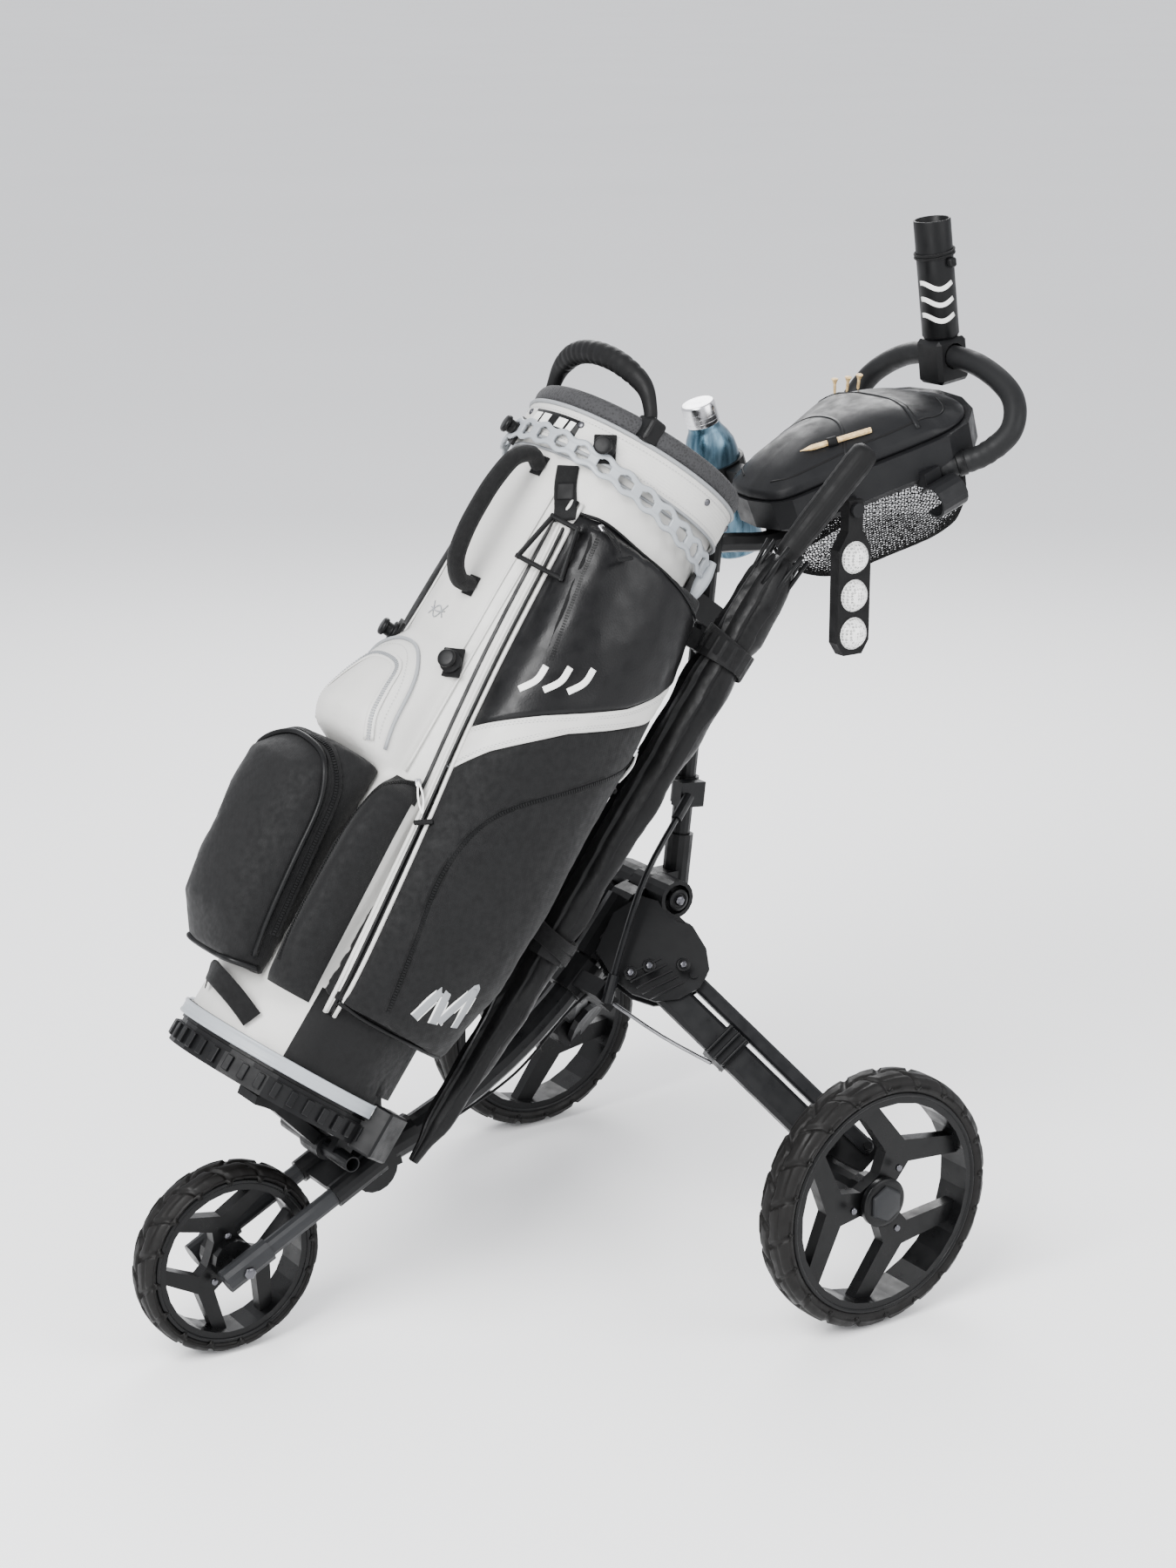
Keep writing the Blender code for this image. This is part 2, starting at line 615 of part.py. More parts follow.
def hub_housing():
    """Casting between the main tube, the two wings and the upper frame's pivot."""
    cart = FRAMES["cart"]
    a, b = spine_point(-43.4), spine_point(-36.0)
    hub = cylinder("hub_housing", 0.0245, 0, (b - a).length, along(point(a), point(b)), "cart",
                   "black_plastic")
    barrel = cylinder("hub_barrel", HUB_BARREL_R, -HUB_HALF, HUB_HALF, wheel_frame(0, HUB_Y, HUB_Z), "cart",
                      tool=True, sides=18)
    web = plate("hub_web", [(0.190, 0.360), (0.236, 0.392), (0.270, 0.430), (0.262, 0.462), (0.225, 0.452),
                            (0.178, 0.405)], -0.0200, 0.0200, cart @ yz_plane(), "cart", tool=True)
    join(hub, barrel, web)
    for side in (1, -1):
        frame = leg_frame(side)
        low, high = across(side, LEG_BOTTOM - 0.0065, LEG_BOTTOM - 0.0005)
        inner = plate(f"hub_plate_{side}", WING_OUTLINE, low, high, frame, "cart", tool=True)
        low, high = across(side, LEG_BOTTOM - 0.0065, -WING_THICK - GAP)
        wall = plate(f"hub_wall_{side}", WING_WALL, low, high, frame, "cart", tool=True)
        join(hub, inner, wall)
    for side in (1, -1):
        for index, (x, y) in enumerate(((0, 0), STRUT_PIVOT)):
            bore = cylinder(f"hub_bolt_bore_{side}_{index}", BOLT_R + GAP, -0.06, 0.06,
                            leg_frame(side) @ shift(x, y, 0), "cart", tool=True, sides=12)
            cut(hub, bore)
    rest = [spine_point(-49.5 + i * 1.44) for i in range(5)]
    room = pipe("hub_slider_room", rest, SLIDER_R + 0.0034, cart, "cart", tool=True, roundness=4)
    cut(hub, spine_cutter("hub_tube", -44.6, SPINE_END + 0.3), room)
    gap = cylinder("hub_knuckle_gap", HUB_BARREL_R + 0.0030, -UPPER_KNUCKLE_HALF - GAP,
                   UPPER_KNUCKLE_HALF + GAP, wheel_frame(0, HUB_Y, HUB_Z), "cart", tool=True, sides=18)
    shaft = cylinder("hub_shaft", HINGE_PIN_R, -HUB_HALF + 0.004, HUB_HALF - 0.004,
                     wheel_frame(0, HUB_Y, HUB_Z), "cart", tool=True, sides=12)
    cut(hub, gap)
    for side in (1, -1):
        recess = cylinder(f"hub_recess_{side}", 0.0185, side * HUB_HALF - 0.016, side * HUB_HALF + 0.016,
                          wheel_frame(0, HUB_Y, HUB_Z), "cart", tool=True)
        cut(hub, recess)
    join(hub, shaft)


WING_WALL = [(0.002, 0.0755), (-0.040, 0.0735), (-0.0695, 0.0575), (-0.0775, 0.020), (-0.0595, -0.0275),
             (-0.046, -0.0300), (-0.056, 0.018), (-0.052, 0.044), (-0.030, 0.058), (0.002, 0.061)]


def yz_plane():
    """A frame whose X is the cart's Y, Y is its Z and Z is its X."""
    return Matrix(((0, 0, 1, 0), (1, 0, 0, 0), (0, 1, 0, 0), (0, 0, 0, 1)))


def wing(side):
    """The fan-shaped outer plate that traps a leg and a strut on their bolts."""
    name = side_name(side)
    frame = leg_frame(side)
    low, high = across(side, -WING_THICK, 0.0)
    cover = plate(f"wing_{name}", WING_OUTLINE, low, high, frame, "cart", "black_plastic")
    for index, (x, y) in enumerate(((0, 0), STRUT_PIVOT)):
        low, high = across(side, LEG_BOTTOM - 0.0065, 0.0030)
        bolt = cylinder(f"wing_bolt_{name}_{index}", BOLT_R, low, high, frame @ shift(x, y, 0), "cart", tool=True,
                        sides=12)
        join(cover, bolt)
    room = cylinder(f"wing_room_{name}", HUB_BARREL_R + GAP * 2, -0.09, 0.09, wheel_frame(0, HUB_Y, HUB_Z), "cart",
                    tool=True, sides=18)
    cut(cover, room)


def leg(side):
    """The thick leg, with the collar that takes the stay."""
    name = side_name(side)
    joint = f"leg_joint_{name}"
    frame = FRAMES[joint]
    low, high = across(side, LEG_BOTTOM, LEG_TOP)
    bar = plate(f"leg_{name}", stadium(LEG_LENGTH, LEG_HALF), low, high, frame, joint, "painted_tube",
                bevel=0.0050)
    low, high = across(side, LEG_BOTTOM - 0.0030, LEG_TOP + 0.0030)
    collar = block(f"leg_collar_{name}", (COLLAR_AT - 0.0160, -LEG_HALF - 0.0035, low),
                   (COLLAR_AT + 0.0160, LEG_HALF + 0.0035, high), frame, joint, tool=True)
    join(bar, collar)
    for x in (0, LEG_LENGTH):
        bore = cylinder(f"leg_bore_{name}_{x:.2f}", BOLT_R + GAP, -0.06, 0.06, frame @ shift(x, 0, 0), joint,
                        tool=True, sides=12)
        cut(bar, bore)


def strut(side):
    """The thin strut that keeps the wheel upright while the leg folds."""
    name = side_name(side)
    joint = f"strut_joint_{name}"
    frame = FRAMES[joint]
    low, high = across(side, LEG_BOTTOM + 0.004, LEG_TOP - 0.004)
    bar = plate(f"strut_{name}", stadium(LEG_LENGTH, STRUT_HALF, 5), low, high, frame, joint, "painted_tube",
                bevel=0.0030)
    for x in (0, LEG_LENGTH):
        bore = cylinder(f"strut_bore_{name}_{x:.2f}", BOLT_R + GAP, -0.06, 0.06, frame @ shift(x, 0, 0),
                        joint, tool=True, sides=12)
        cut(bar, bore)


def carrier(side):
    """The casting that joins leg and strut to the rear axle."""
    name = side_name(side)
    joint = f"carrier_joint_{name}"
    frame = FRAMES[joint]
    low, high = across(side, LEG_BOTTOM - 0.0080, LEG_BOTTOM - 0.0005)
    x, y = STRUT_PIVOT
    hull = [(-0.016, -0.014), (0.002, -0.022), (0.050, -0.030), (0.062, -0.016), (x + 0.016, y),
            (x + 0.008, y + 0.014), (x - 0.006, y + 0.013), (-0.006, 0.018), (-0.017, 0.006)]
    body = plate(f"wheel_carrier_{name}", hull, low, high, frame, joint, "black_plastic")
    hub = wheel_frame(side * TRACK / 2, REAR_AXLE_Y, REAR_TYRE_R)
    inner_face = 0.42 * REAR_TYRE_WIDTH
    low, high = across(side, -inner_face - 0.0008, -0.0900)
    boss = cylinder(f"carrier_boss_{name}", 0.0190, low, high, hub, joint, tool=True)
    low, high = across(side, -0.0400, inner_face + 0.0040)
    axle = cylinder(f"carrier_axle_{name}", AXLE_R, low, high, hub, joint, tool=True, sides=12)
    join(body, boss, axle)
    for index, (px, py) in enumerate(((0, 0), STRUT_PIVOT)):
        low, high = across(side, LEG_BOTTOM - 0.0060, LEG_TOP + 0.0030)
        bolt = cylinder(f"carrier_bolt_{name}_{index}", BOLT_R, low, high, frame @ shift(px, py, 0), joint, tool=True,
                        sides=12)
        join(body, bolt)


# ---------------------------------------------------------------- slider, stays and link rod
def slider():
    """The collar that slides on the main tube and pulls the legs in."""
    frame = FRAMES["slider_body"]
    half = SLIDER_LENGTH / 2
    collar = ring("slider_collar", SLIDER_R, SPINE_TUBE_R + 0.0012, -half, half, frame, "slider_joint",
                  "black_plastic", steps=18)
    lugs = block("slider_lugs", (-STAY_EYE_X, 0.0200, -0.0100), (STAY_EYE_X, STAY_EYE_DROP + 0.0060, 0.0080),
                 frame, "slider_joint", tool=True)
    arm = block("slider_arm", (0.0200, -0.0150, -0.0140), (LINK_X - 0.0078, 0.0050, 0.0080), frame,
                "slider_joint", tool=True)
    join(collar, lugs, arm)
    clear = cylinder("slider_clear", SPINE_TUBE_R + 0.0012, -0.04, 0.04, frame, "slider_joint", tool=True,
                     sides=18)
    cut(collar, clear)


LINK_X = 0.0800
LINK_LOW = (LINK_X, 0.1480, 0.3560)
LINK_TOP = (0.0400, 0.2890, 0.5640)


def link_rod():
    """The curved rod between the slider and the upper frame."""
    frame = FRAMES["cart"]
    low, top = Vector(LINK_LOW), Vector(LINK_TOP)
    bow = Vector((0.010, -0.020, 0.012))
    path = spline([low, low.lerp(top, 0.25) + bow * 0.6, low.lerp(top, 0.6) + bow, top], 4)
    rod = pipe("link_rod", path, 0.0038, frame, "link_joint", "black_plastic", roundness=2)
    for index, (end, other) in enumerate(((low, path[2]), (top, path[-3]))):
        ferrule = cylinder(f"link_ferrule_{index}", 0.0068, -0.0090, 0.0260, along(point(end), point(other)),
                           "link_joint", tool=True, sides=12)
        join(rod, ferrule)


def stay(side):
    """A steel rod from the slider's eye to the leg's collar."""
    name = side_name(side)
    joint = f"stay_joint_{name}"
    eye = spine_point(SLIDER_AT, STAY_EYE_DROP, side * (STAY_EYE_X + STAY_R + GAP))
    end = stay_end(side)
    path = [eye, eye.lerp(end, 0.5) + Vector((0, 0, -0.004)), end]
    pipe(f"stay_{name}", spline(path, 3), STAY_R, FRAMES["cart"], joint, "steel", roundness=2)


def stay_end(side):
    """Just short of the leg collar's front face."""
    leg_direction, normal = fold_axes(side)
    b = normal.cross(leg_direction) * side
    middle = (LEG_TOP + LEG_BOTTOM) / 2
    return (mirrored(LEG_PIVOT, side) + leg_direction * COLLAR_AT + normal * middle
            - b * (LEG_HALF + 0.0035 + STAY_R + 0.0009))


# ---------------------------------------------------------------- upper frame
def upper_frame():
    cart = FRAMES["cart"]
    pivot = wheel_frame(0, HUB_Y, HUB_Z)
    foot, head = Vector(UPPER_FOOT), Vector(UPPER_HEAD)
    axis = (head - foot).normalized()
    tube_frame = along(point(foot), point(head))
    socket = ring("upper_socket", HUB_BARREL_R, HINGE_PIN_R + GAP, -UPPER_KNUCKLE_HALF, UPPER_KNUCKLE_HALF,
                  pivot, "cart", "black_plastic", steps=18)
    neck = cylinder("socket_neck", 0.0170, -0.012, 0.0560, tube_frame, "cart", tool=True)
    bridge = block("socket_bridge", (-UPPER_KNUCKLE_HALF, HUB_Y, HUB_Z - 0.018),
                   (UPPER_KNUCKLE_HALF, 0.3080, HUB_Z + 0.020), cart, "cart", tool=True)
    pin = cylinder("socket_pin_bore", HINGE_PIN_R + GAP, -0.05, 0.05, pivot, "cart", tool=True, sides=12)
    bore = cylinder("socket_bore", UPPER_TUBE_R + GAP, 0.0200 - GAP, 0.07, tube_frame, "cart", tool=True)
    cut(join(socket, neck, bridge), pin, bore)
    length = (head - foot).length
    tube = cylinder("upper_tube", UPPER_TUBE_R, 0.0200, length, tube_frame, "cart", "painted_tube")
    link_bracket(tube, tube_frame)
    upper_bracket(tube_frame, foot, axis)


def link_bracket(tube, tube_frame):
    """Boss on the upper tube that holds the link rod's top end."""
    reach = LINK_TOP[2] - UPPER_FOOT[2]
    height = (Vector(UPPER_HEAD) - Vector(UPPER_FOOT)).length * reach / (UPPER_HEAD[2] - UPPER_FOOT[2])
    clamp = cylinder("link_bracket", 0.0165, height - 0.014, height + 0.020, tube_frame, "cart", tool=True)
    ear = block("link_ear", (0.0130, -0.0280, height - 0.0130), (LINK_TOP[0] - 0.0090, 0.0080, height + 0.0180),
                tube_frame, "cart", tool=True)
    join(tube, clamp, ear)


BRACKET_S = (0.7060, 0.7360)              # height range on the bag
BRACKET_R = BAG_R + 0.0025
BRACKET_THICK = 0.0110


def upper_bracket(tube_frame, foot, axis):
    """Arms behind the bag's neck, clamped to the upper tube."""
    bag = FRAMES["bag"]
    arms = band_sector("upper_bracket", BRACKET_R, BRACKET_R + BRACKET_THICK, *BRACKET_S, 40, 140, bag, "cart",
                       "black_plastic", 15)
    middle = sum(BRACKET_S) / 2
    stem = block("bracket_stem", (-0.0220, BRACKET_R + 0.0050, middle - 0.0150),
                 (0.0220, BRACKET_R + 0.0950, middle + 0.0150), bag, "cart", tool=True)
    sleeve = cylinder("bracket_sleeve", UPPER_TUBE_R + GAP, 0.1, 0.6, tube_frame, "cart", tool=True)
    cut(join(arms, stem), sleeve)


def upper_strap():
    """Silicone strap round the bag's neck, with a T-shaped handle at its near end."""
    bag = FRAMES["bag"]
    inner = CUFF_R + 0.0013
    strap = band_sector("upper_strap", inner, inner + 0.0030, STRAP_LOW, STRAP_LOW + 0.0240, -218, 38, bag,
                        "bag", "grey_silicone", 26, slant=STRAP_SLANT)
    outer = BRACKET_R + BRACKET_THICK + GAP
    level = STRAP_LOW + 0.012 - STRAP_SLANT * outer * math.sin(math.radians(41))
    frame = bag @ turn(41, "Z") @ shift(0, 0, level)
    handle = block("strap_handle", (outer, -0.0130, -0.0300), (outer + 0.0090, 0.0075, 0.0300), frame, "bag",
                   tool=True, bevel=0.003)
    tab = block("strap_tab", (inner + 0.0005, -0.0110, -0.0100), (outer + 0.0040, -0.0070, 0.0100), frame, "bag",
                tool=True)
    join(strap, handle, tab)


STRAP_LOW = 0.7400
STRAP_SLANT = 0.1600


# ---------------------------------------------------------------- console, handle and accessories
TRAY_OUTLINE = [(0.0, -0.018), (0.040, -0.012), (0.062, 0.004), (0.077, 0.050), (0.094, 0.110),
                (0.113, 0.165), (0.124, 0.205), (0.119, 0.242), (0.092, 0.274), (0.050, 0.294), (0.0, 0.300)]
LID_OUTLINE = [(0.0, -0.013), (0.036, -0.008), (0.055, 0.006), (0.064, 0.052), (0.074, 0.104),
               (0.086, 0.158), (0.094, 0.196), (0.089, 0.222), (0.066, 0.242), (0.032, 0.252), (0.0, 0.255)]


def both_sides(outline):
    """A left-hand outline, mirrored into a whole one."""
    return [*outline, *[(-x, y) for x, y in reversed(outline[1:-1])]]


def scaled(outline, factor, centre):
    return [(centre[0] + (x - centre[0]) * factor, centre[1] + (y - centre[1]) * factor) for x, y in outline]


def outline_rings(outline, levels):
    """Rings of a mirrored outline, shrunk by a factor at each height."""
    whole = both_sides(outline)
    return [[(x, y, height) for x, y in scaled(whole, factor, CONSOLE_MIDDLE)] for factor, height in levels]


def tray_clearance(name, frame, factor=1.007):
    """A solid just larger than the tray, to trim what butts against it."""
    levels = ((factor, -TRAY_DEPTH - 0.0100), (factor, 0.0500))
    return loft(name, outline_rings(TRAY_OUTLINE, levels), frame, "cart", tool=True)


def console():
    """Tray with its umbrella clip and ball stud, and the hinged lid."""
    frame = FRAMES["console"]
    levels = ((0.88, -TRAY_DEPTH), (0.985, 0.0100 - TRAY_DEPTH), (1.0, 0.0))
    tray = loft("console_tray", outline_rings(TRAY_OUTLINE, levels), frame, "cart", "charcoal_plastic")
    levels = ((0.74, 0.0050 - TRAY_DEPTH), (0.86, 0.0150 - TRAY_DEPTH), (0.88, 0.0100))
    bowl = loft("tray_bowl", outline_rings(TRAY_OUTLINE, levels), frame, "cart", tool=True)
    umbrella_clip(tray)
    stud_frame = FRAMES["ball_joint"] @ turn(90, "X")
    stud = cylinder("ball_stud", BALL_STUD_R, 0.0680 - BALL_STUD[0], 0.0105, stud_frame, "cart", tool=True, sides=12)
    head = cylinder("ball_stud_head", BALL_STUD_R + 0.0040, 0.0085, 0.0130, stud_frame, "cart", tool=True, sides=12)
    cut(join(tray, stud, head), bowl)
    levels = ((1.00, GAP * 2), (0.99, 0.0110), (0.90, 0.0250), (0.66, 0.0370), (0.32, 0.0420))
    lid = loft("console_lid", outline_rings(LID_OUTLINE, levels), frame, "lid_joint", "charcoal_plastic")
    levels = ((0.95, -0.0100), (0.94, 0.0090), (0.85, 0.0220), (0.62, 0.0335), (0.30, 0.0385))
    inside = loft("lid_inside", outline_rings(LID_OUTLINE, levels), frame, "lid_joint", tool=True)
    cut(lid, inside)


def console_mount():
    """Bent bracket from the upper tube's head to the console's underside."""
    head = Vector(UPPER_HEAD)
    frame = FRAMES["console"]
    tube_frame = along(point(UPPER_FOOT), point(UPPER_HEAD))
    length = (head - Vector(UPPER_FOOT)).length
    mount = cylinder("console_mount", 0.0150, length - 0.0450, length + 0.0020, tube_frame, "cart",
                     "black_plastic")
    bend = [head + Vector((0, -0.004, -0.012)), head + Vector((0, 0.030, -0.014)),
            head + Vector((0, 0.075, -0.018)), head + Vector((0, 0.115, -0.012))]
    arm = pipe("mount_arm", spline(bend, 3), 0.0120, FRAMES["cart"], "cart", tool=True, roundness=2)
    foot = block("mount_plate", (-0.0280, 0.0200, -TRAY_DEPTH - 0.0130), (0.0280, 0.1000, -TRAY_DEPTH - GAP), frame,
                 "cart", tool=True)
    bore = cylinder("mount_bore", UPPER_TUBE_R + GAP, 0, length + GAP, tube_frame, "cart", tool=True)
    cut(join(mount, arm, foot), bore)


def net_bag():
    """Mesh accessory bag under the console, open round its bracket."""
    frame = FRAMES["console"]
    levels = ((0.80, -TRAY_DEPTH - 2 * GAP), (0.83, -0.0700), (0.80, -0.1050), (0.70, -0.1280), (0.52, -0.1400))
    net = loft("net_bag", outline_rings(TRAY_OUTLINE, levels), frame, "cart", "black_mesh")
    room = block("net_room", (-0.0320, -0.1000, -0.0850), (0.0320, 0.1060, 0.0), frame, "cart", tool=True)
    cut(net, room)


HANDLE_R = 0.0140


def handle():
    """Loop handle round the back of the console."""
    half = [(0.0960, 0.6020, 0.9420), (0.1180, 0.6330, 0.9530), (0.1400, 0.6620, 0.9680),
            (0.1520, 0.6900, 0.9960), (0.1300, 0.7080, 1.0320), (0.0700, 0.7110, 1.0600)]
    loop = [*half, (0.0, 0.7080, 1.0680), *[(-x, y, z) for x, y, z in reversed(half)]]
    bar = pipe("handle_loop", spline(loop, 2), HANDLE_R, FRAMES["cart"], "cart", "black_rubber", roundness=2)
    cut(bar, tray_clearance("handle_clear", FRAMES["console"]))


UMBRELLA_FOOT = (0.0, 0.7040, 1.0900)
UMBRELLA_TOP = (0.0, 0.6830, 1.2360)
UMBRELLA_TUBE_R = 0.0230


def umbrella_tube():
    top, foot = Vector(UMBRELLA_TOP), Vector(UMBRELLA_FOOT)
    frame = along(point(foot), point(top))
    length = (top - foot).length
    tube = cylinder("umbrella_tube", UMBRELLA_TUBE_R, 0, length, frame, "cart", "painted_tube", sides=18)
    bore = cylinder("umbrella_bore", UMBRELLA_TUBE_R - 0.0020, 0.0100, length + 0.01, frame, "cart", tool=True,
                    sides=18)
    cut(tube, bore)
    clamp = block("handle_clamp", (-0.0230, -0.0240, -0.0560), (0.0230, 0.0240, -GAP), frame, "cart",
                  "black_plastic", bevel=0.005)
    bar = cylinder("clamp_bar", HANDLE_R + 0.0024, -0.06, 0.06, wheel_frame(0.0, 0.7080, 1.0680), "cart",
                   tool=True)
    cut(clamp, bar)


def umbrella_clip(tray):
    """Open C-shaped clip on the tray's left side."""
    frame = FRAMES["console"] @ shift(0.1330, 0.1700, -0.0620) @ turn(90, "X")
    outline = [*arc_points(0.0210, -130, 150, 14), *arc_points(0.0180, 150, -130, 14)]
    clip = plate("umbrella_clip", outline, -0.0200, 0.0200, frame, "cart", tool=True)
    ear = block("clip_ear", (-0.0330, 0.0120, -0.0120), (-0.0120, 0.0320, 0.0120), frame, "cart", tool=True)
    join(tray, clip, ear)


BALL_R = 0.02135
BALL_PITCH = 0.0468


def ball_holder():
    """Hanging silicone strip with three cups, and the balls in it."""
    frame = FRAMES["ball_joint"]
    outline = [(-0.0110, 0.0120), (-0.0110, -0.0260), (-0.0245, -0.0480), (-0.0245, -0.1620),
               (-0.0140, -0.1780), (0.0140, -0.1780), (0.0245, -0.1620), (0.0245, -0.0480),
               (0.0110, -0.0260), (0.0110, 0.0120)]
    strip = plate("ball_holder", outline, -0.0080, 0.0080, frame @ turn(90, "X") @ turn(0, "Z"), "ball_joint",
                  "black_rubber")
    stud = cylinder("ball_stud_bore", BALL_STUD_R + GAP, -0.03, 0.03, frame @ turn(90, "X"), "ball_joint",
                    tool=True, sides=12)
    cut(strip, stud)
    for index in range(3):
        centre = frame @ shift(0, 0, -0.0580 - index * BALL_PITCH)
        hole = sphere(f"ball_cup_{index}", BALL_R + GAP, centre, "ball_joint", tool=True)
        cut(strip, hole)
        sphere(f"golf_ball_{index + 1}", BALL_R, centre, "ball_joint", "white_ball")


BALL_STUD_R = 0.0050


def sphere(name, radius, frame, parent, kind=None, tool=False):
    bm = bmesh.new()
    bmesh.ops.create_uvsphere(bm, u_segments=12, v_segments=7, radius=radius)
    return smooth(mesh_object(name, bm, frame, parent, kind, tool), 180.0)


# ---------------------------------------------------------------- bag
OVAL_TOP = 0.3000                         # the bag is round above this height
FOOT_FLAT = 0.0300                        # and this much shallower at the back of its foot


def foot_pull(height):
    """How far the back of the bag is pulled in at a height."""
    return FOOT_FLAT * min(1.0, max(0.0, (OVAL_TOP - height) / OVAL_TOP))


def oval_ring(height, grow=0.0):
    """The bag's outline at a height; the back of the foot is pulled in to clear the frame."""
    pull = foot_pull(height)
    ring_points = []
    for x, y in arc_points(BAG_R + grow, 0, 360 * (1 - 1 / BAG_SIDES), BAG_SIDES):
        ring_points.append((x, y * (1 - pull / BAG_R) if y > 0 else y, height))
    return ring_points


def bag_body():
    bag = FRAMES["bag"]
    loft("bag_foot", [oval_ring(h, 0.0034) for h in (0.0, BAG_FOOT)], bag, "bag", "black_plastic")
    inner = BAG_R - BAG_WALL
    floor = BAG_FOOT + GAP
    levels = (floor, OVAL_TOP, BAG_HEIGHT)
    body = loft("bag_body", [oval_ring(h) for h in levels], bag, "bag", "off_white_leather")
    levels = (floor + 0.008, OVAL_TOP, BAG_HEIGHT + 0.05)
    hollow = loft("bag_hollow", [oval_ring(h, -BAG_WALL) for h in levels], bag, "bag", tool=True)
    cut(body, hollow)
    cuff = [(CUFF_R, BAG_HEIGHT + GAP), (CUFF_R, CUFF_LOW), (BAG_R + GAP, CUFF_LOW), (BAG_R + GAP, BAG_HEIGHT + GAP),
            (inner - 0.006, BAG_HEIGHT + GAP), (inner - 0.006, COLLAR_TOP - 0.006), (inner + 0.001, COLLAR_TOP),
            (CUFF_R - 0.006, COLLAR_TOP), (CUFF_R, COLLAR_TOP - 0.008)]
    turned("bag_cuff", cuff, bag, "bag", "off_white_leather", steps=BAG_SIDES)
    return body


def divider():
    """Five-way club divider just inside the mouth."""
    bag = FRAMES["bag"]
    inner = BAG_R - BAG_WALL - GAP
    low, high = 0.7700, 0.8100
    grid = ring("club_divider", inner, inner - 0.0050, low, high, bag, "bag", "black_fabric", steps=28)
    bars = ((-0.0035, 0.0035, -0.119, 0.119), (-0.119, 0.119, -0.0035, 0.0035))
    for index, (x0, x1, y0, y1) in enumerate(bars):
        bar = block(f"divider_bar_{index}", (x0, y0, low + 0.004), (x1, y1, high - 0.002), bag, "bag", tool=True)
        join(grid, bar)


def bag_handles():
    """Arched lifting handle on the rim, and a carrying handle down the front."""
    bag = FRAMES["bag"]
    rim = COLLAR_TOP + GAP * 2
    half = [(0.1040, -0.0730, rim), (0.1040, -0.0730, rim + 0.0060), (0.1045, -0.0730, rim + 0.0200), (0.0980, -0.0900, rim + 0.0390),
            (0.0640, -0.1120, rim + 0.0480)]
    arch = [*half, (0.0, -0.1200, rim + 0.0500), *[(-x, y, z) for x, y, z in reversed(half)]]
    pipe("top_handle", spline(arch, 2), 0.0105, bag, "bag", "black_rubber", roundness=2)
    turned_bag = bag @ turn(-78, "Z")
    near, far = BAG_R + 0.0020, BAG_R + 0.0550
    carry = [(near, 0.0, 0.7400), (near + 0.0150, 0.0, 0.7400), (far - 0.0050, 0.0, 0.7150), (far, 0.0, 0.6650),
             (far - 0.0080, 0.0, 0.6150), (near + 0.0150, 0.0, 0.5850), (near, 0.0, 0.5820)]
    pipe("carry_handle", spline(carry, 2), 0.0085, turned_bag, "bag", "black_fabric", roundness=2)


def pocket(name, first, last, low, high, depths, kind, shape=(7, 9), sunk=0.0, tool=False):
    """A soft pocket on the bag's wall, between two angles and two heights.

    Its depth changes from edge to edge and from bottom to top as depths says: the two
    first values are at the bottom, the two last at the top.
    """
    rows, columns = shape
    half_step = math.radians(last - first) / (columns - 1) / 2
    rings = []
    for i in range(rows):
        t = i / (rows - 1)
        height = low + (high - low) * t
        outer, inner = [], []
        for k in range(columns):
            u = k / (columns - 1)
            angle = math.radians(first + (last - first) * u)
            depth = (depths[0] * (1 - u) + depths[1] * u) * (1 - t) + (depths[2] * (1 - u) + depths[3] * u) * t
            fullness = max(0.28, edge_rounding(u)) * max(0.55, edge_rounding(t))
            base = wall_radius(angle, height) / math.cos(half_step) + 3 * GAP
            reach = base + 0.003 + depth * fullness
            outer.append((reach * math.cos(angle), reach * math.sin(angle), height))
            seat = base - sunk
            inner.append((seat * math.cos(angle), seat * math.sin(angle), height))
        rings.append([*outer, *reversed(inner)])
    return loft(name, rings, FRAMES["bag"], "bag", kind, tool)


def edge_rounding(share):
    """1 over most of a pocket, falling off close to its edges."""
    return (1 - abs(2 * share - 1) ** 5) ** 0.5


def wall_radius(angle, height):
    """Distance of the bag's wall from its axis in one direction."""
    pull = foot_pull(height)
    depth = BAG_R - pull if math.sin(angle) > 0 else BAG_R
    return BAG_R * depth / math.hypot(depth * math.cos(angle), BAG_R * math.sin(angle))


def pockets(body):
    """Two pockets are sewn into the bag's wall; the others are separate soft pieces."""
    upper = pocket("upper_front_pocket", -122, -62, 0.356, 0.505, (0.074, 0.066, 0.012, 0.006), None,
                   shape=(5, 6), sunk=0.003, tool=True)
    mid = pocket("mid_pocket", -64, -40, 0.080, 0.345, (0.048, 0.024, 0.066, 0.030), None, shape=(5, 4),
                 sunk=0.003, tool=True)
    join(body, upper, mid)
    pocket("front_pocket", -118, -67, 0.082, 0.350, (0.086, 0.052, 0.116, 0.070), "black_fabric", shape=(7, 7))
    pocket("side_pocket_left", -38, 49, 0.100, 0.705, (0.016, 0.070, 0.022, 0.052), "black_fabric", shape=(7, 8))
    pocket("side_pocket_right", 133, 218, 0.100, 0.690, (0.034, 0.030, 0.034, 0.030), "black_fabric",
           shape=(7, 7))


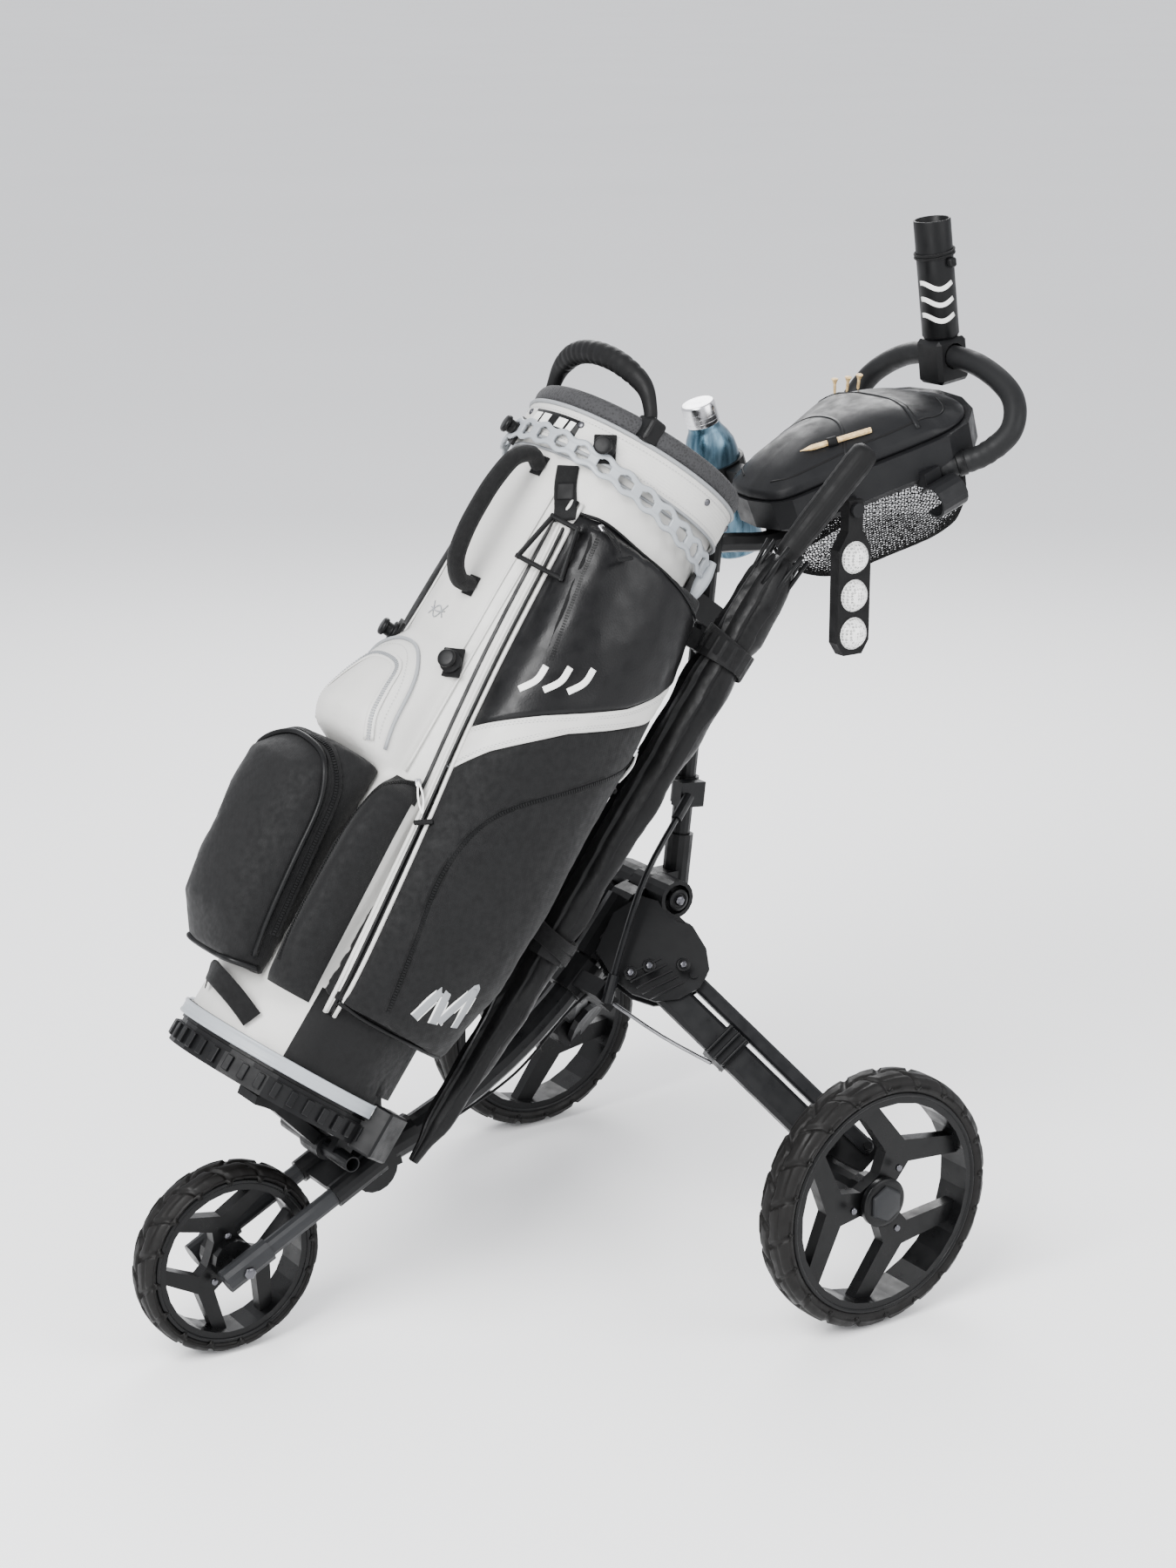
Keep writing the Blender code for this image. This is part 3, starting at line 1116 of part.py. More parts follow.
def towel_ring(body):
    """Ring that swings on a webbing loop at the bag's neck."""
    frame = FRAMES["ring_joint"]
    corners = [(-0.0160, 0.0), (0.0160, 0.0), (0.0280, -0.0580), (-0.0280, -0.0580)]
    knots = [*corners, corners[0]]
    ring_body = None
    for index, (a, b) in enumerate(zip(knots, knots[1:])):
        side = Vector((*b, 0)) - Vector((*a, 0))
        over = 0.0028
        bar = cylinder(f"ring_bar_{index}" if index else "towel_ring", RING_BAR_R, -over, side.length + over,
                       frame @ along((*a, 0), (*b, 0)), "ring_joint", None if index else "black_plastic",
                       tool=bool(index), sides=10)
        ring_body = join(ring_body, bar) if ring_body else bar
    loop = block("ring_loop", (-0.0100, -0.0060, -RING_STANDOFF - 0.0030), (0.0100, 0.0060, 0.0060), frame, "bag",
                 tool=True)
    bore = cylinder("ring_bore", RING_BAR_R + GAP, -0.0200, 0.0200, frame @ turn(90, "Y"), "bag", tool=True, sides=12)
    cut(join(body, loop), bore)


RING_BAR_R = 0.0030
RING_STANDOFF = 0.0140


# ---------------------------------------------------------------- umbrella and bottle
BROLLY_TIP = (0.0705, -0.1200, 0.2030)
BROLLY_NECK = (0.1350, 0.3560, 0.8720)
BROLLY_END = (0.1500, 0.4680, 0.9930)


CANOPY_SIZES = ((0.000, 0.0070), (0.030, 0.0090), (0.050, 0.0170), (0.30, 0.0250), (0.55, 0.0280), (0.80, 0.0300),
                (0.96, 0.0280), (1.0, 0.0200))


def canopy_radius(share):
    """Radius of the rolled canopy at a share of its length."""
    for (a, first), (b, second) in zip(CANOPY_SIZES, CANOPY_SIZES[1:]):
        if share <= b:
            return first + (second - first) * (share - a) / (b - a)
    return CANOPY_SIZES[-1][1]


def umbrella():
    """Rolled umbrella beside the bag, its grip and the two straps that hold it."""
    tip, neck = Vector(BROLLY_TIP), Vector(BROLLY_NECK)
    frame = along(point(tip), point(neck))
    length = (neck - tip).length
    rows = [[(x, y, share * length) for x, y in arc_points(radius, 0, 330, 12)] for share, radius in CANOPY_SIZES]
    loft("umbrella_canopy", rows, frame, "cart", "black_fabric")
    along_axis = (neck - tip).normalized()
    start = neck + along_axis * 0.0006
    grip = [start, start + along_axis * 0.0100, start + along_axis * 0.045, Vector(BROLLY_END)]
    pipe("umbrella_grip", spline(grip, 3), 0.0165, FRAMES["cart"], "cart", "black_rubber", roundness=2)
    for name, share in (("umbrella_strap_upper", 0.84), ("umbrella_strap_lower", 0.36)):
        radius = max(canopy_radius(share + d) for d in (-0.02, 0.0, 0.02)) / math.cos(math.pi / 16) + GAP
        low, high = share * length - 0.014, share * length + 0.014
        loop = ring(name, radius + 0.0028, radius, low, high, frame, "cart", "black_fabric", steps=16)
        join(loop, strap_tail(name, tip + along_axis * share * length, radius))


def strap_tail(name, centre, radius):
    """The strap's end, from the loop to the bag's wall."""
    local = FRAMES["bag"].inverted() @ point(centre)
    angle = math.atan2(local.y, local.x)
    reach = math.hypot(local.x, local.y)
    frame = FRAMES["bag"] @ turn(math.degrees(angle), "Z")
    return block(f"{name}_tail", (BAG_R + 2 * GAP, -0.0030, local.z - 0.0120),
                 (reach - radius - 0.0012, 0.0030, local.z + 0.0120), frame, "cart", tool=True)


BOTTLE_FOOT = (-0.1520, 0.5100, 0.8180)
BOTTLE_TOP = (-0.1520, 0.4400, 1.0110)


def bottle():
    foot, top = Vector(BOTTLE_FOOT), Vector(BOTTLE_TOP)
    frame = along(point(foot), point(top))
    length = (top - foot).length
    shape = ((0.000, 0.030), (0.010, 0.033), (0.130, 0.033), (0.160, 0.027), (0.176, 0.020))
    rows = [[(x, y, h) for x, y in arc_points(r, 0, 337.5, 16)] for h, r in shape]
    flask = loft("bottle", rows, frame, "cart", "blue_metal")
    join(flask, cylinder("bottle_cap", 0.0215, 0.1755, length, frame, "cart", tool=True, sides=18))
    holder = ring("bottle_holder", 0.0380, 0.0341, 0.085, 0.125, frame, "cart", "black_plastic", steps=18)
    arm = block("holder_arm", (0.0350, -0.0110, 0.0940), (0.1000, 0.0110, 0.1220), frame, "cart", tool=True)
    cut(join(holder, arm), tray_clearance("holder_tray", FRAMES["console"], 1.0045))


# ---------------------------------------------------------------- frames of the joints
def frames():
    cart = shift(0, SHIFT_Y, 0)
    empty("cart", cart)
    empty("bag", cart @ shift(*BAG_BASE) @ turn(-BAG_TILT, "X"), "cart")
    empty("console", cart @ shift(*CONSOLE_FRONT) @ turn(CONSOLE_SLOPE, "X"), "cart")
    cross = FRAMES["bag"] @ shift(*CROSS_TUBE)
    empty("cross_tube_axis", shift(*cross.translation) @ turn(90, "Y"), "cart")
    empty("pedal_joint", FRAMES["cross_tube_axis"], "cart")
    empty("fork_joint", hinge_frame(), "cart")
    empty("front_wheel_joint", wheel_frame(0, FRONT_AXLE_Y, FRONT_TYRE_R), "fork_joint")
    empty("lid_joint", FRAMES["console"] @ shift(0, -0.0120, 0.0040) @ turn(90, "Y"), "cart")
    empty("slider_joint", cart @ shift(0, SPINE_Y, SPINE_Z) @ turn(90, "Y"), "cart")
    empty("slider_body", spine_frame(SLIDER_AT), "slider_joint")
    empty("link_joint", wheel_frame(*LINK_LOW), "slider_joint")
    empty("ball_joint", FRAMES["console"] @ shift(*BALL_STUD) @ turn(-CONSOLE_SLOPE, "X") @ turn(90, "Z"), "cart")
    empty("ring_joint", ring_frame(), "bag")
    for side in (1, -1):
        name = side_name(side)
        frame = leg_frame(side)
        empty(f"leg_joint_{name}", frame, "cart")
        empty(f"strut_joint_{name}", frame @ shift(*STRUT_PIVOT, 0), "cart")
        empty(f"carrier_joint_{name}", frame @ shift(LEG_LENGTH, 0, 0), f"leg_joint_{name}")
        hub = wheel_frame(side * TRACK / 2, REAR_AXLE_Y, REAR_TYRE_R)
        empty(f"rear_wheel_joint_{name}", hub, f"carrier_joint_{name}")
        eye = spine_point(SLIDER_AT, STAY_EYE_DROP, side * STAY_EYE_X)
        empty(f"stay_joint_{name}", cart @ shift(*eye), "slider_joint")


BALL_STUD = (0.0980, 0.0590, -0.0320)     # in the console's frame


def ring_frame():
    """Ring plane against the bag's near front, Y up the bag, Z outwards."""
    angle = -47.0
    reach = BAG_R + RING_STANDOFF
    x, y = reach * math.cos(math.radians(angle)), reach * math.sin(math.radians(angle))
    return FRAMES["bag"] @ shift(x, y, 0.690) @ turn(angle + 90, "Z") @ turn(90, "X")


def build():
    clear_scene()
    frames()
    main_tube()
    lower_knuckle()
    lower_cradle()
    cross_tube()
    foot_pedal()
    lower_strap()
    fork()
    wheel("front", (0, FRONT_AXLE_Y, FRONT_TYRE_R), FRONT_TYRE_R, FRONT_TYRE_WIDTH, FRONT_RIM_R, FRONT_AXLE_R,
          70, "front_wheel_joint")
    hub_housing()
    for side in (1, -1):
        wing(side)
        leg(side)
        strut(side)
        carrier(side)
        stay(side)
        name = side_name(side)
        wheel(f"rear_{name}", (side * TRACK / 2, REAR_AXLE_Y, REAR_TYRE_R), REAR_TYRE_R, REAR_TYRE_WIDTH,
              REAR_RIM_R, AXLE_R, 30, f"rear_wheel_joint_{name}")
    slider()
    link_rod()
    upper_frame()
    upper_strap()
    console()
    console_mount()
    net_bag()
    handle()
    umbrella_tube()
    ball_holder()
    body = bag_body()
    divider()
    bag_handles()
    pockets(body)
    towel_ring(body)
    umbrella()
    bottle()


build()
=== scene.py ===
import json
import math
import bpy
import numpy as np
from mathutils import Vector, Matrix
from mathutils.bvhtree import BVHTree
from mathutils.noise import noise


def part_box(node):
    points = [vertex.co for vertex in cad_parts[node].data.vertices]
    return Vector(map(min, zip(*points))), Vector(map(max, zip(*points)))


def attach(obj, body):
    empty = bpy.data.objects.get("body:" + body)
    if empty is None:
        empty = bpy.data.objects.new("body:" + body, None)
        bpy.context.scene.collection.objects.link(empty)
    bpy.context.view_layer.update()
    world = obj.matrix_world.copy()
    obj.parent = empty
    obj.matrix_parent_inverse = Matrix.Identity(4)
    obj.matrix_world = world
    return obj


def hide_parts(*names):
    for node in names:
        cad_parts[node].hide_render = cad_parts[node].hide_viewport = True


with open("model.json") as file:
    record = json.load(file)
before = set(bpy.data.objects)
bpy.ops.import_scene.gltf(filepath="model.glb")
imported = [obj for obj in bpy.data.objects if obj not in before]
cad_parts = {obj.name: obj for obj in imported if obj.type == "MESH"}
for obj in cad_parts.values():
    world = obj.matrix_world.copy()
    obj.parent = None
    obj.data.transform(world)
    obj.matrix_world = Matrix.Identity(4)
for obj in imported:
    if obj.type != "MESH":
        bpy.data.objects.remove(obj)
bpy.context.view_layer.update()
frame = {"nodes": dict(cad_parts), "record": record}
NODES = frame["nodes"]
rad = math.radians

BAG_TILT = 36.4     # degrees between the bag's axis and the vertical
BAG = Matrix.Translation((0, -0.3956, 0.3226)) @ Matrix.Rotation(rad(-BAG_TILT), 4, "X")
BAG_UP = BAG.to_3x3() @ Vector((0, 0, 1))
CONSOLE = Matrix.Translation((0, 0.2756, 0.921)) @ Matrix.Rotation(rad(20), 4, "X")
SHIFT = Vector((0, -0.1464, 0))     # from the measuring frame to the shared one
CUBE_FACES = ((0, 1, 3, 2), (4, 6, 7, 5), (0, 4, 5, 1), (2, 3, 7, 6), (0, 2, 6, 4), (1, 5, 7, 3))


# ---------------------------------------------------------------- materials
class Nodes:
    def __init__(self, name):
        self.m = bpy.data.materials.new(name)
        self.m.use_nodes = True
        self.t = self.m.node_tree
        self.b = self.t.nodes["Principled BSDF"]
        self.co = self.t.nodes.new("ShaderNodeTexCoord").outputs["Object"]

    def add(self, kind, ins=None, **props):
        n = self.t.nodes.new(kind)
        for k, v in props.items():
            setattr(n, k, v)
        for k, v in (ins or {}).items():
            if hasattr(v, "node"):
                self.t.links.new(v, n.inputs[k])
            else:
                n.inputs[k].default_value = v
        return n

    def frame(self, tilt=0.0, scale=(1, 1, 1)):
        m = self.add("ShaderNodeMapping", {"Vector": self.co, "Rotation": (tilt, 0, 0),
            "Scale": scale})
        return m.outputs["Vector"]

    def noise(self, vec, scale, detail=4.0):
        return self.add("ShaderNodeTexNoise", {"Vector": vec, "Scale": scale,
            "Detail": detail}).outputs["Fac"]

    def wave(self, vec, scale, direction, distortion=0.0):
        return self.add("ShaderNodeTexWave", {"Vector": vec, "Scale": scale,
            "Distortion": distortion},
                        bands_direction=direction).outputs["Fac"]

    def math(self, op, a, b):
        return self.add("ShaderNodeMath", {0: a, 1: b}, operation=op).outputs[0]

    def ramp(self, fac, lo, hi, a=0.3, b=0.7):
        r = self.add("ShaderNodeValToRGB", {"Fac": fac})
        r.color_ramp.elements[0].position, r.color_ramp.elements[1].position = a, b
        r.color_ramp.elements[0].color = (*lo, 1) if hasattr(lo, "__len__") else (lo, lo, lo, 1)
        r.color_ramp.elements[1].color = (*hi, 1) if hasattr(hi, "__len__") else (hi, hi, hi, 1)
        return r.outputs["Color"]

    def bump(self, height, strength, distance, normal=None):
        ins = {"Height": height, "Strength": strength, "Distance": distance}
        if normal is not None:
            ins["Normal"] = normal
        return self.add("ShaderNodeBump", ins).outputs["Normal"]

    def put(self, socket, out):
        self.t.links.new(out, self.b.inputs[socket])


def shade(c, k):
    return tuple(min(1.0, x * k) for x in c)


def finish(n, color, rough, vary, spread=0.12, metal=0.0, coat=0.0, sheen=0.0, vscale=9.0):
    """Uneven colour and roughness over the piece, with constants on the shader's own sockets."""
    if max(color) < 0.1:
        color = shade(color, 0.22)
        n.b.inputs["Specular IOR Level"].default_value = 0.16
    big = n.noise(n.co, vscale, 5.0)
    n.put("Base Color", n.ramp(big, shade(color, 1 - vary), shade(color, 1 + vary)))
    n.put("Roughness", n.ramp(n.noise(n.co, vscale * 6, 3.0), max(0.02, rough - spread),
        min(1, rough + spread)))
    n.b.inputs["Metallic"].default_value = metal
    n.b.inputs["Coat Weight"].default_value = coat
    n.b.inputs["Coat Roughness"].default_value = 0.25
    n.b.inputs["Sheen Weight"].default_value = sheen
    n.b.inputs["Sheen Roughness"].default_value = 0.5
    return n.m


def moulded(name, color, rough=0.48, grain=1400.0, strength=0.22, **k):
    n = Nodes(name)
    fine = n.noise(n.co, grain, 2.0)
    n.put("Normal", n.bump(fine, strength, 0.0003))
    return finish(n, color, rough, 0.10, **k)


def metal(name, color, rough=0.3, stretch=(1, 1, 40), **k):
    n = Nodes(name)
    n.put("Normal", n.bump(n.noise(n.frame(0, stretch), 160, 3.0), 0.15, 0.0002))
    return finish(n, color, rough, 0.08, metal=1.0, **k)


def woven(name, color, scale=900.0, tilt=BAG_TILT, rough=0.7, strength=0.5, diagonal=False, **k):
    """Two crossed sets of threads that follow the bag's own axis, over soft creases."""
    n = Nodes(name)
    v = n.frame(rad(tilt))
    bands = scale / 6.28
    a = n.wave(v, bands, "DIAGONAL" if diagonal else "Z")
    if diagonal:
        b = n.wave(v, bands, "Z")
    else:
        b = n.math("MAXIMUM", n.wave(v, bands, "X"), n.wave(v, bands, "Y"))
    thread = n.math("MULTIPLY", a, b)
    crease = n.bump(n.noise(v, 14, 5.0), 0.45, 0.006)
    n.put("Normal", n.bump(thread, strength, 0.0004, crease))
    return finish(n, color, rough, 0.14, sheen=k.pop("sheen", 0.06), vscale=22, **k)


def hide(name, color, ribs=0.0, rough=0.5, crease=0.35, grain=700, **k):
    """Coated cloth: a pebbled grain, fine ribs where asked, and shallow creases."""
    n = Nodes(name)
    v = n.frame(rad(BAG_TILT))
    peb = n.add("ShaderNodeTexVoronoi", {"Vector": v, "Scale": grain},
        feature="F1").outputs["Distance"]
    normal = n.bump(n.noise(v, 11, 4.0), crease, 0.006)
    normal = n.bump(peb, 0.35, 0.0003, normal)
    if ribs:
        normal = n.bump(n.wave(v, ribs, "Z"), 0.5, 0.0004, normal)
    n.put("Normal", normal)
    return finish(n, color, rough, 0.05, **k)


def mesh_cloth(name, color):
    """Open air mesh: rows of small round holes over a dark ground, each hole painted darker and its rim
    lighter as painted shade in the holes.
    """
    n = Nodes(name)
    cell = n.add("ShaderNodeTexVoronoi", {"Vector": n.co, "Scale": 330.0},
        feature="F1").outputs["Distance"]
    # painted shade: colour runs from dark in the hole centres to lighter on the rims
    n.put("Base Color", n.ramp(cell, shade(color, 0.25), shade(color, 1.7), 0.15, 0.5))
    n.put("Normal", n.bump(cell, 0.9, 0.0012))
    n.b.inputs["Roughness"].default_value = 0.8
    n.b.inputs["Sheen Weight"].default_value = 0.05
    return n.m


def wood(name):
    n = Nodes(name)
    g = n.noise(n.frame(), 260, 6.0)
    n.put("Base Color", n.ramp(g, (0.42, 0.26, 0.10), (0.74, 0.55, 0.28)))
    n.put("Normal", n.bump(g, 0.3, 0.0003))
    n.b.inputs["Roughness"].default_value = 0.55
    return n.m


def bottle_paint(name):
    n = Nodes(name)
    g = n.noise(n.frame(rad(-20), (1, 1, 0.08)), 120, 5.0)
    n.put("Base Color", n.ramp(g, (0.02, 0.06, 0.09), (0.15, 0.24, 0.31)))
    n.put("Roughness", n.ramp(g, 0.22, 0.4))
    n.b.inputs["Metallic"].default_value = 0.75
    n.put("Normal", n.bump(g, 0.12, 0.0003))
    return n.m


def ball_cover(name):
    n = Nodes(name)
    d = n.add("ShaderNodeTexVoronoi", {"Vector": n.co, "Scale": 260.0, "Randomness": 0.25},
        feature="F1")
    n.put("Normal", n.bump(n.ramp(d.outputs["Distance"], 0.0, 1.0, 0.12, 0.42), 1.0, 0.0040))
    return finish(n, (0.86, 0.86, 0.84), 0.25, 0.02, coat=0.6)


M = {
    "frame_metal": moulded("powder_coat", (0.022, 0.023, 0.025), 0.36, 900, 0.25),
    "frame_plastic": moulded("black_nylon", (0.016, 0.0165, 0.018), 0.42, 1500, 0.3),
    "strut_metal": moulded("powder_coat_thin", (0.024, 0.025, 0.028), 0.36, 900, 0.25),
    "steel": metal("rod_steel", (0.22, 0.22, 0.23), 0.32),
    "tyre": moulded("foam_tyre", (0.020, 0.0185, 0.0175), 0.52, 700, 0.35),
    "rim": moulded("satin_rim", (0.013, 0.0135, 0.0145), 0.34, 1200, 0.16),
    "strap": moulded("grey_elastic", (0.27, 0.29, 0.31), 0.42, 800, 0.15),
    "console": moulded("charcoal", (0.030, 0.031, 0.034), 0.44, 1600, 0.35),
    "grip": moulded("soft_grip", (0.034, 0.035, 0.037), 0.52, 1100, 0.4),
    "rubber": moulded("rubber", (0.016, 0.016, 0.017), 0.6, 900, 0.45),
    "sleeve": moulded("grey_sleeve", (0.075, 0.078, 0.084), 0.42, 1100, 0.2),
    "seam": moulded("seam_cord", (0.05, 0.05, 0.052), 0.4, 900, 0.2),
    "screw": metal("screw", (0.10, 0.10, 0.11), 0.3),
    "chrome": metal("pull_metal", (0.65, 0.65, 0.67), 0.22),
    "bag_plastic": moulded("bag_plastic", (0.015, 0.0155, 0.0165), 0.38, 1300, 0.2),
    "cream": hide("pale_coated_cloth", (0.50, 0.495, 0.475), 0, 0.52),
    "cream_ribbed": hide("pale_ribbed_cloth", (0.51, 0.505, 0.485), 90, 0.5, crease=0.12),
    "white_cord": moulded("white_cord", (0.78, 0.78, 0.76), 0.6, 900, 0.3),
    "gloss_black": hide("coated_black", (0.012, 0.012, 0.0135),
    0, 0.40, crease=0.22, grain=420, coat=0.08),
    "twill": woven("black_twill", (0.014, 0.0142, 0.0152), 1500, rough=0.68, diagonal=True),
    "pack_cloth": woven("black_pack_cloth", (0.012, 0.012, 0.013),
    2200, rough=0.5, strength=0.3, sheen=0.03),
    "webbing": woven("webbing", (0.011, 0.011, 0.012), 2600, tilt=0, rough=0.75, strength=0.8),
    "umbrella": woven("umbrella_cloth", (0.010, 0.010, 0.011),
    3600, rough=0.42, strength=0.15, sheen=0.04),
    "zip": woven("zip_teeth", (0.010, 0.010, 0.011), 2400, rough=0.35, strength=1.0),
    "binding": moulded("grey_binding", (0.22, 0.23, 0.24), 0.6, 900, 0.4),
    "air_mesh": mesh_cloth("air_mesh", (0.010, 0.010, 0.011)),
    "net": moulded("net_thread", (0.010, 0.010, 0.011), 0.7, 900, 0.3),
    "wood": wood("tee_wood"),
    "bottle": bottle_paint("bottle_paint"),
    "ball": ball_cover("ball_cover"),
    "print": moulded("pale_print", (0.70, 0.70, 0.68), 0.6, 1200, 0.3),
}


# ---------------------------------------------------------------- making pieces
def piece(name, verts, faces, mat, body="frame", smooth=True, mats=None, index=None):
    me = bpy.data.meshes.new(name)
    me.from_pydata([tuple(v) for v in verts], [], [tuple(f) for f in faces])
    me.validate()
    o = bpy.data.objects.new(name, me)
    bpy.context.scene.collection.objects.link(o)
    for m in (mats or [mat]):
        me.materials.append(M[m])
    if index is not None:
        me.polygons.foreach_set("material_index", index)
    if smooth:
        me.polygons.foreach_set("use_smooth", [True] * len(me.polygons))
    me.update()
    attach(o, body)
    return o


def modifier(o, kind, **props):
    m = o.modifiers.new(kind.title(), kind)
    for k, v in props.items():
        setattr(m, k, v)
    return m


def soften_edges(o, width, segments=2, angle=32):
    modifier(o, "BEVEL", width=width, segments=segments, limit_method="ANGLE",
        angle_limit=rad(angle),
             harden_normals=False)
    return o


def turned(matrix, radius, angle, height=0.0):
    """A point at that radius, angle and height round the matrix's own Z axis."""
    return matrix @ Vector((radius * math.cos(angle), radius * math.sin(angle), height))


def grid_faces(rows, cols, close_cols=False, close_rows=False):
    out = []
    for i in range(rows if close_rows else rows - 1):
        for j in range(cols if close_cols else cols - 1):
            a, b = i * cols + j, i * cols + (j + 1) % cols
            k = (i + 1) % rows
            out.append((a, b, k * cols + (j + 1) % cols, k * cols + j))
    return out


def lathe(name, profile, matrix, mat, body="frame", steps=40):
    """profile is (radius, height) from one end to the other."""
    verts = [turned(matrix, r, 2 * math.pi * k / steps, h) for r,
        h in profile for k in range(steps)]
    faces = grid_faces(len(profile), steps, True)
    faces += [tuple(range(steps))[::-1], tuple(range((len(profile) - 1) * steps,
        len(profile) * steps))]
    return soften_edges(piece(name, verts, faces, mat, body), 0.0006, 2, 40)


def box(name, size, matrix, mat, body="frame", bevel=0.0012):
    x, y, z = (s / 2 for s in size)
    verts = [matrix @ Vector((a * x, b * y, c * z)) for a in (-1, 1) for b in (-1, 1) for c in (-1,
        1)]
    o = piece(name, verts, CUBE_FACES, mat, body, smooth=False)
    return soften_edges(o, bevel, 3, 30)


def aim(point, direction, up=(0, 0, 1)):
    z = Vector(direction).normalized()
    x = Vector(up).cross(z)
    if x.length < 1e-4:
        x = Vector((1, 0, 0)).cross(z)
    x.normalize()
    y = z.cross(x)
    m = Matrix((x, y, z)).transposed().to_4x4()
    m.translation = Vector(point)
    return m


def smooth_path(points, per=8):
    """A Catmull-Rom curve through the points."""
    p = [Vector(q) for q in points]
    p = [2 * p[0] - p[1]] + p + [2 * p[-1] - p[-2]]
    out = []
    for i in range(1, len(p) - 2):
        a, b, c, d = p[i - 1:i + 3]
        for k in range(per):
            t = k / per
            out.append(0.5 * ((2 * b) + (c - a) * t + (2 * a - 5 * b + 4 * c - d) * t * t
                              + (3 * b - a - 3 * c + d) * t ** 3))
    out.append(p[-2].copy())
    return out


def tube(name, path, size, mat, body="frame", sides=14, closed=False, twist=None):
    """size is a radius, or a function of (share along, angle) that gives one."""
    path = [Vector(p) for p in path]
    n = len(path)
    up = None
    verts = []
    for i, p in enumerate(path):
        if closed:
            t = path[(i + 1) % n] - path[i - 1]
        else:
            t = path[min(i + 1, n - 1)] - path[max(i - 1, 0)]
        t.normalize()
        if up is None:
            up = Vector((0.31, 0.2, 0.93)) if twist is None else Vector(twist)
        up = (up - t * up.dot(t)).normalized()
        side = t.cross(up)
        for k in range(sides):
            a = 2 * math.pi * k / sides
            r = size(i / (n - 1), a) if callable(size) else size
            verts.append(p + up * (r * math.cos(a)) + side * (r * math.sin(a)))
    faces = grid_faces(n, sides, True, closed)
    if not closed:
        faces += [tuple(range(sides))[::-1], tuple(range((n - 1) * sides, n * sides))]
    return piece(name, verts, faces, mat, body)


def ribbon(name, pts, nrm, width, thick, mat, body="frame", lift=0.0, cols=6):
    """A strip that lies on a surface: points and outward normals along its middle."""
    n = len(pts)
    verts = []
    for i in range(n):
        t = (pts[min(i + 1, n - 1)] - pts[max(i - 1, 0)]).normalized()
        up = nrm[i]
        side = t.cross(up).normalized()
        w = width(i / (n - 1)) if callable(width) else width
        ring = [(-0.5, 0.0), (-0.5, 0.55), (-0.42, 0.95)] + [(-0.42 + 0.84 * k / cols,
            1.0) for k in range(1, cols)]
        ring += [(0.42, 0.95), (0.5, 0.55), (0.5, 0.0)]
        verts += [pts[i] + side * (x * w) + up * (lift + h * thick) for x, h in ring]
    m = len(ring)
    faces = grid_faces(n, m, True)
    faces += [tuple(range(m))[::-1], tuple(range((n - 1) * m, n * m))]
    return piece(name, verts, faces, mat, body)


def node_mesh(node):
    o = NODES[node]
    me = o.data
    co = np.empty(len(me.vertices) * 3)
    me.vertices.foreach_get("co", co)
    return co.reshape(-1, 3), [tuple(p.vertices) for p in me.polygons]


def remeshed(name, node, mat, voxel=0.0025, passes=6, body="frame",
        puff=None, factor=0.5):
    """The node's shape with rounded edges. puff=(pressure, cap) blows it up as a stuffed piece."""
    co, faces = node_mesh(node)
    o = piece(name, co, faces, mat, body)
    modifier(o, "REMESH", mode="VOXEL", voxel_size=voxel, use_smooth_shade=True)
    modifier(o, "SMOOTH", factor=factor, iterations=passes)
    apply_all(o)
    if puff:
        blow_up(o, *puff)
    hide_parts(node)
    return o


def apply_all(o):
    deps = bpy.context.evaluated_depsgraph_get()
    me = bpy.data.meshes.new_from_object(o.evaluated_get(deps))
    mats = list(o.data.materials)
    o.modifiers.clear()
    o.data = me
    me.materials.clear()
    for m in mats:
        me.materials.append(m)
    me.polygons.foreach_set("use_smooth", [True] * len(me.polygons))


def blow_up(o, pressure, cap):
    """A short cloth simulation under air pressure, with each point's travel limited."""
    scene = bpy.context.scene
    before = np.empty(len(o.data.vertices) * 3)
    o.data.vertices.foreach_get("co", before)
    m = o.modifiers.new("Cloth", "CLOTH")
    s = m.settings
    s.use_pressure = True
    s.uniform_pressure_force = pressure
    s.effector_weights.gravity = 0
    s.quality = 4
    s.mass = 0.3
    s.tension_stiffness = s.compression_stiffness = 12
    s.shear_stiffness = 6
    s.bending_stiffness = 0.4
    m.point_cache.frame_start, m.point_cache.frame_end = 1, 14
    for f in range(1, 15):
        scene.frame_set(f)
    deps = bpy.context.evaluated_depsgraph_get()
    after = np.empty(len(before))
    o.evaluated_get(deps).data.vertices.foreach_get("co", after)
    o.modifiers.clear()
    a, b = before.reshape(-1, 3), after.reshape(-1, 3)
    d = np.nan_to_num(b - a)
    size = np.linalg.norm(d, axis=1, keepdims=True)
    o.data.vertices.foreach_set("co", (a + d * np.minimum(1, cap / np.maximum(size, 1e-9))).ravel())
    o.data.update()
    scene.frame_set(1)


# ---------------------------------------------------------------- carried-over nodes
SLOTS = {s["node"]: s["material_slot"] for s in frame["record"]["subparts"]}
ALIKE = {"net": "net", "bag_fabric": "pack_cloth", "bag_trim": "cream_ribbed"}
BEVELS = {"hub_housing": 0.0012, "lower_cradle": 0.0010, "fork_yoke": 0.0012, "front_rim": 0.0016,
          "rear_left_rim": 0.0018, "rear_right_rim": 0.0018, "console_tray": 0.0030,
          "club_divider": 0.0012}
for name, o in NODES.items():
    slot = SLOTS.get(name, "frame_plastic")
    key = ALIKE.get(slot, slot)
    o.data.materials.clear()
    o.data.materials.append(M[key])
    o.data.polygons.foreach_set("material_index", [0] * len(o.data.polygons))
    o.data.polygons.foreach_set("use_smooth", [True] * len(o.data.polygons))
    soften_edges(o, BEVELS.get(name, 0.0012), 2, 34)
    w = o.modifiers.new("Normals", "WEIGHTED_NORMAL")
    w.keep_sharp = True


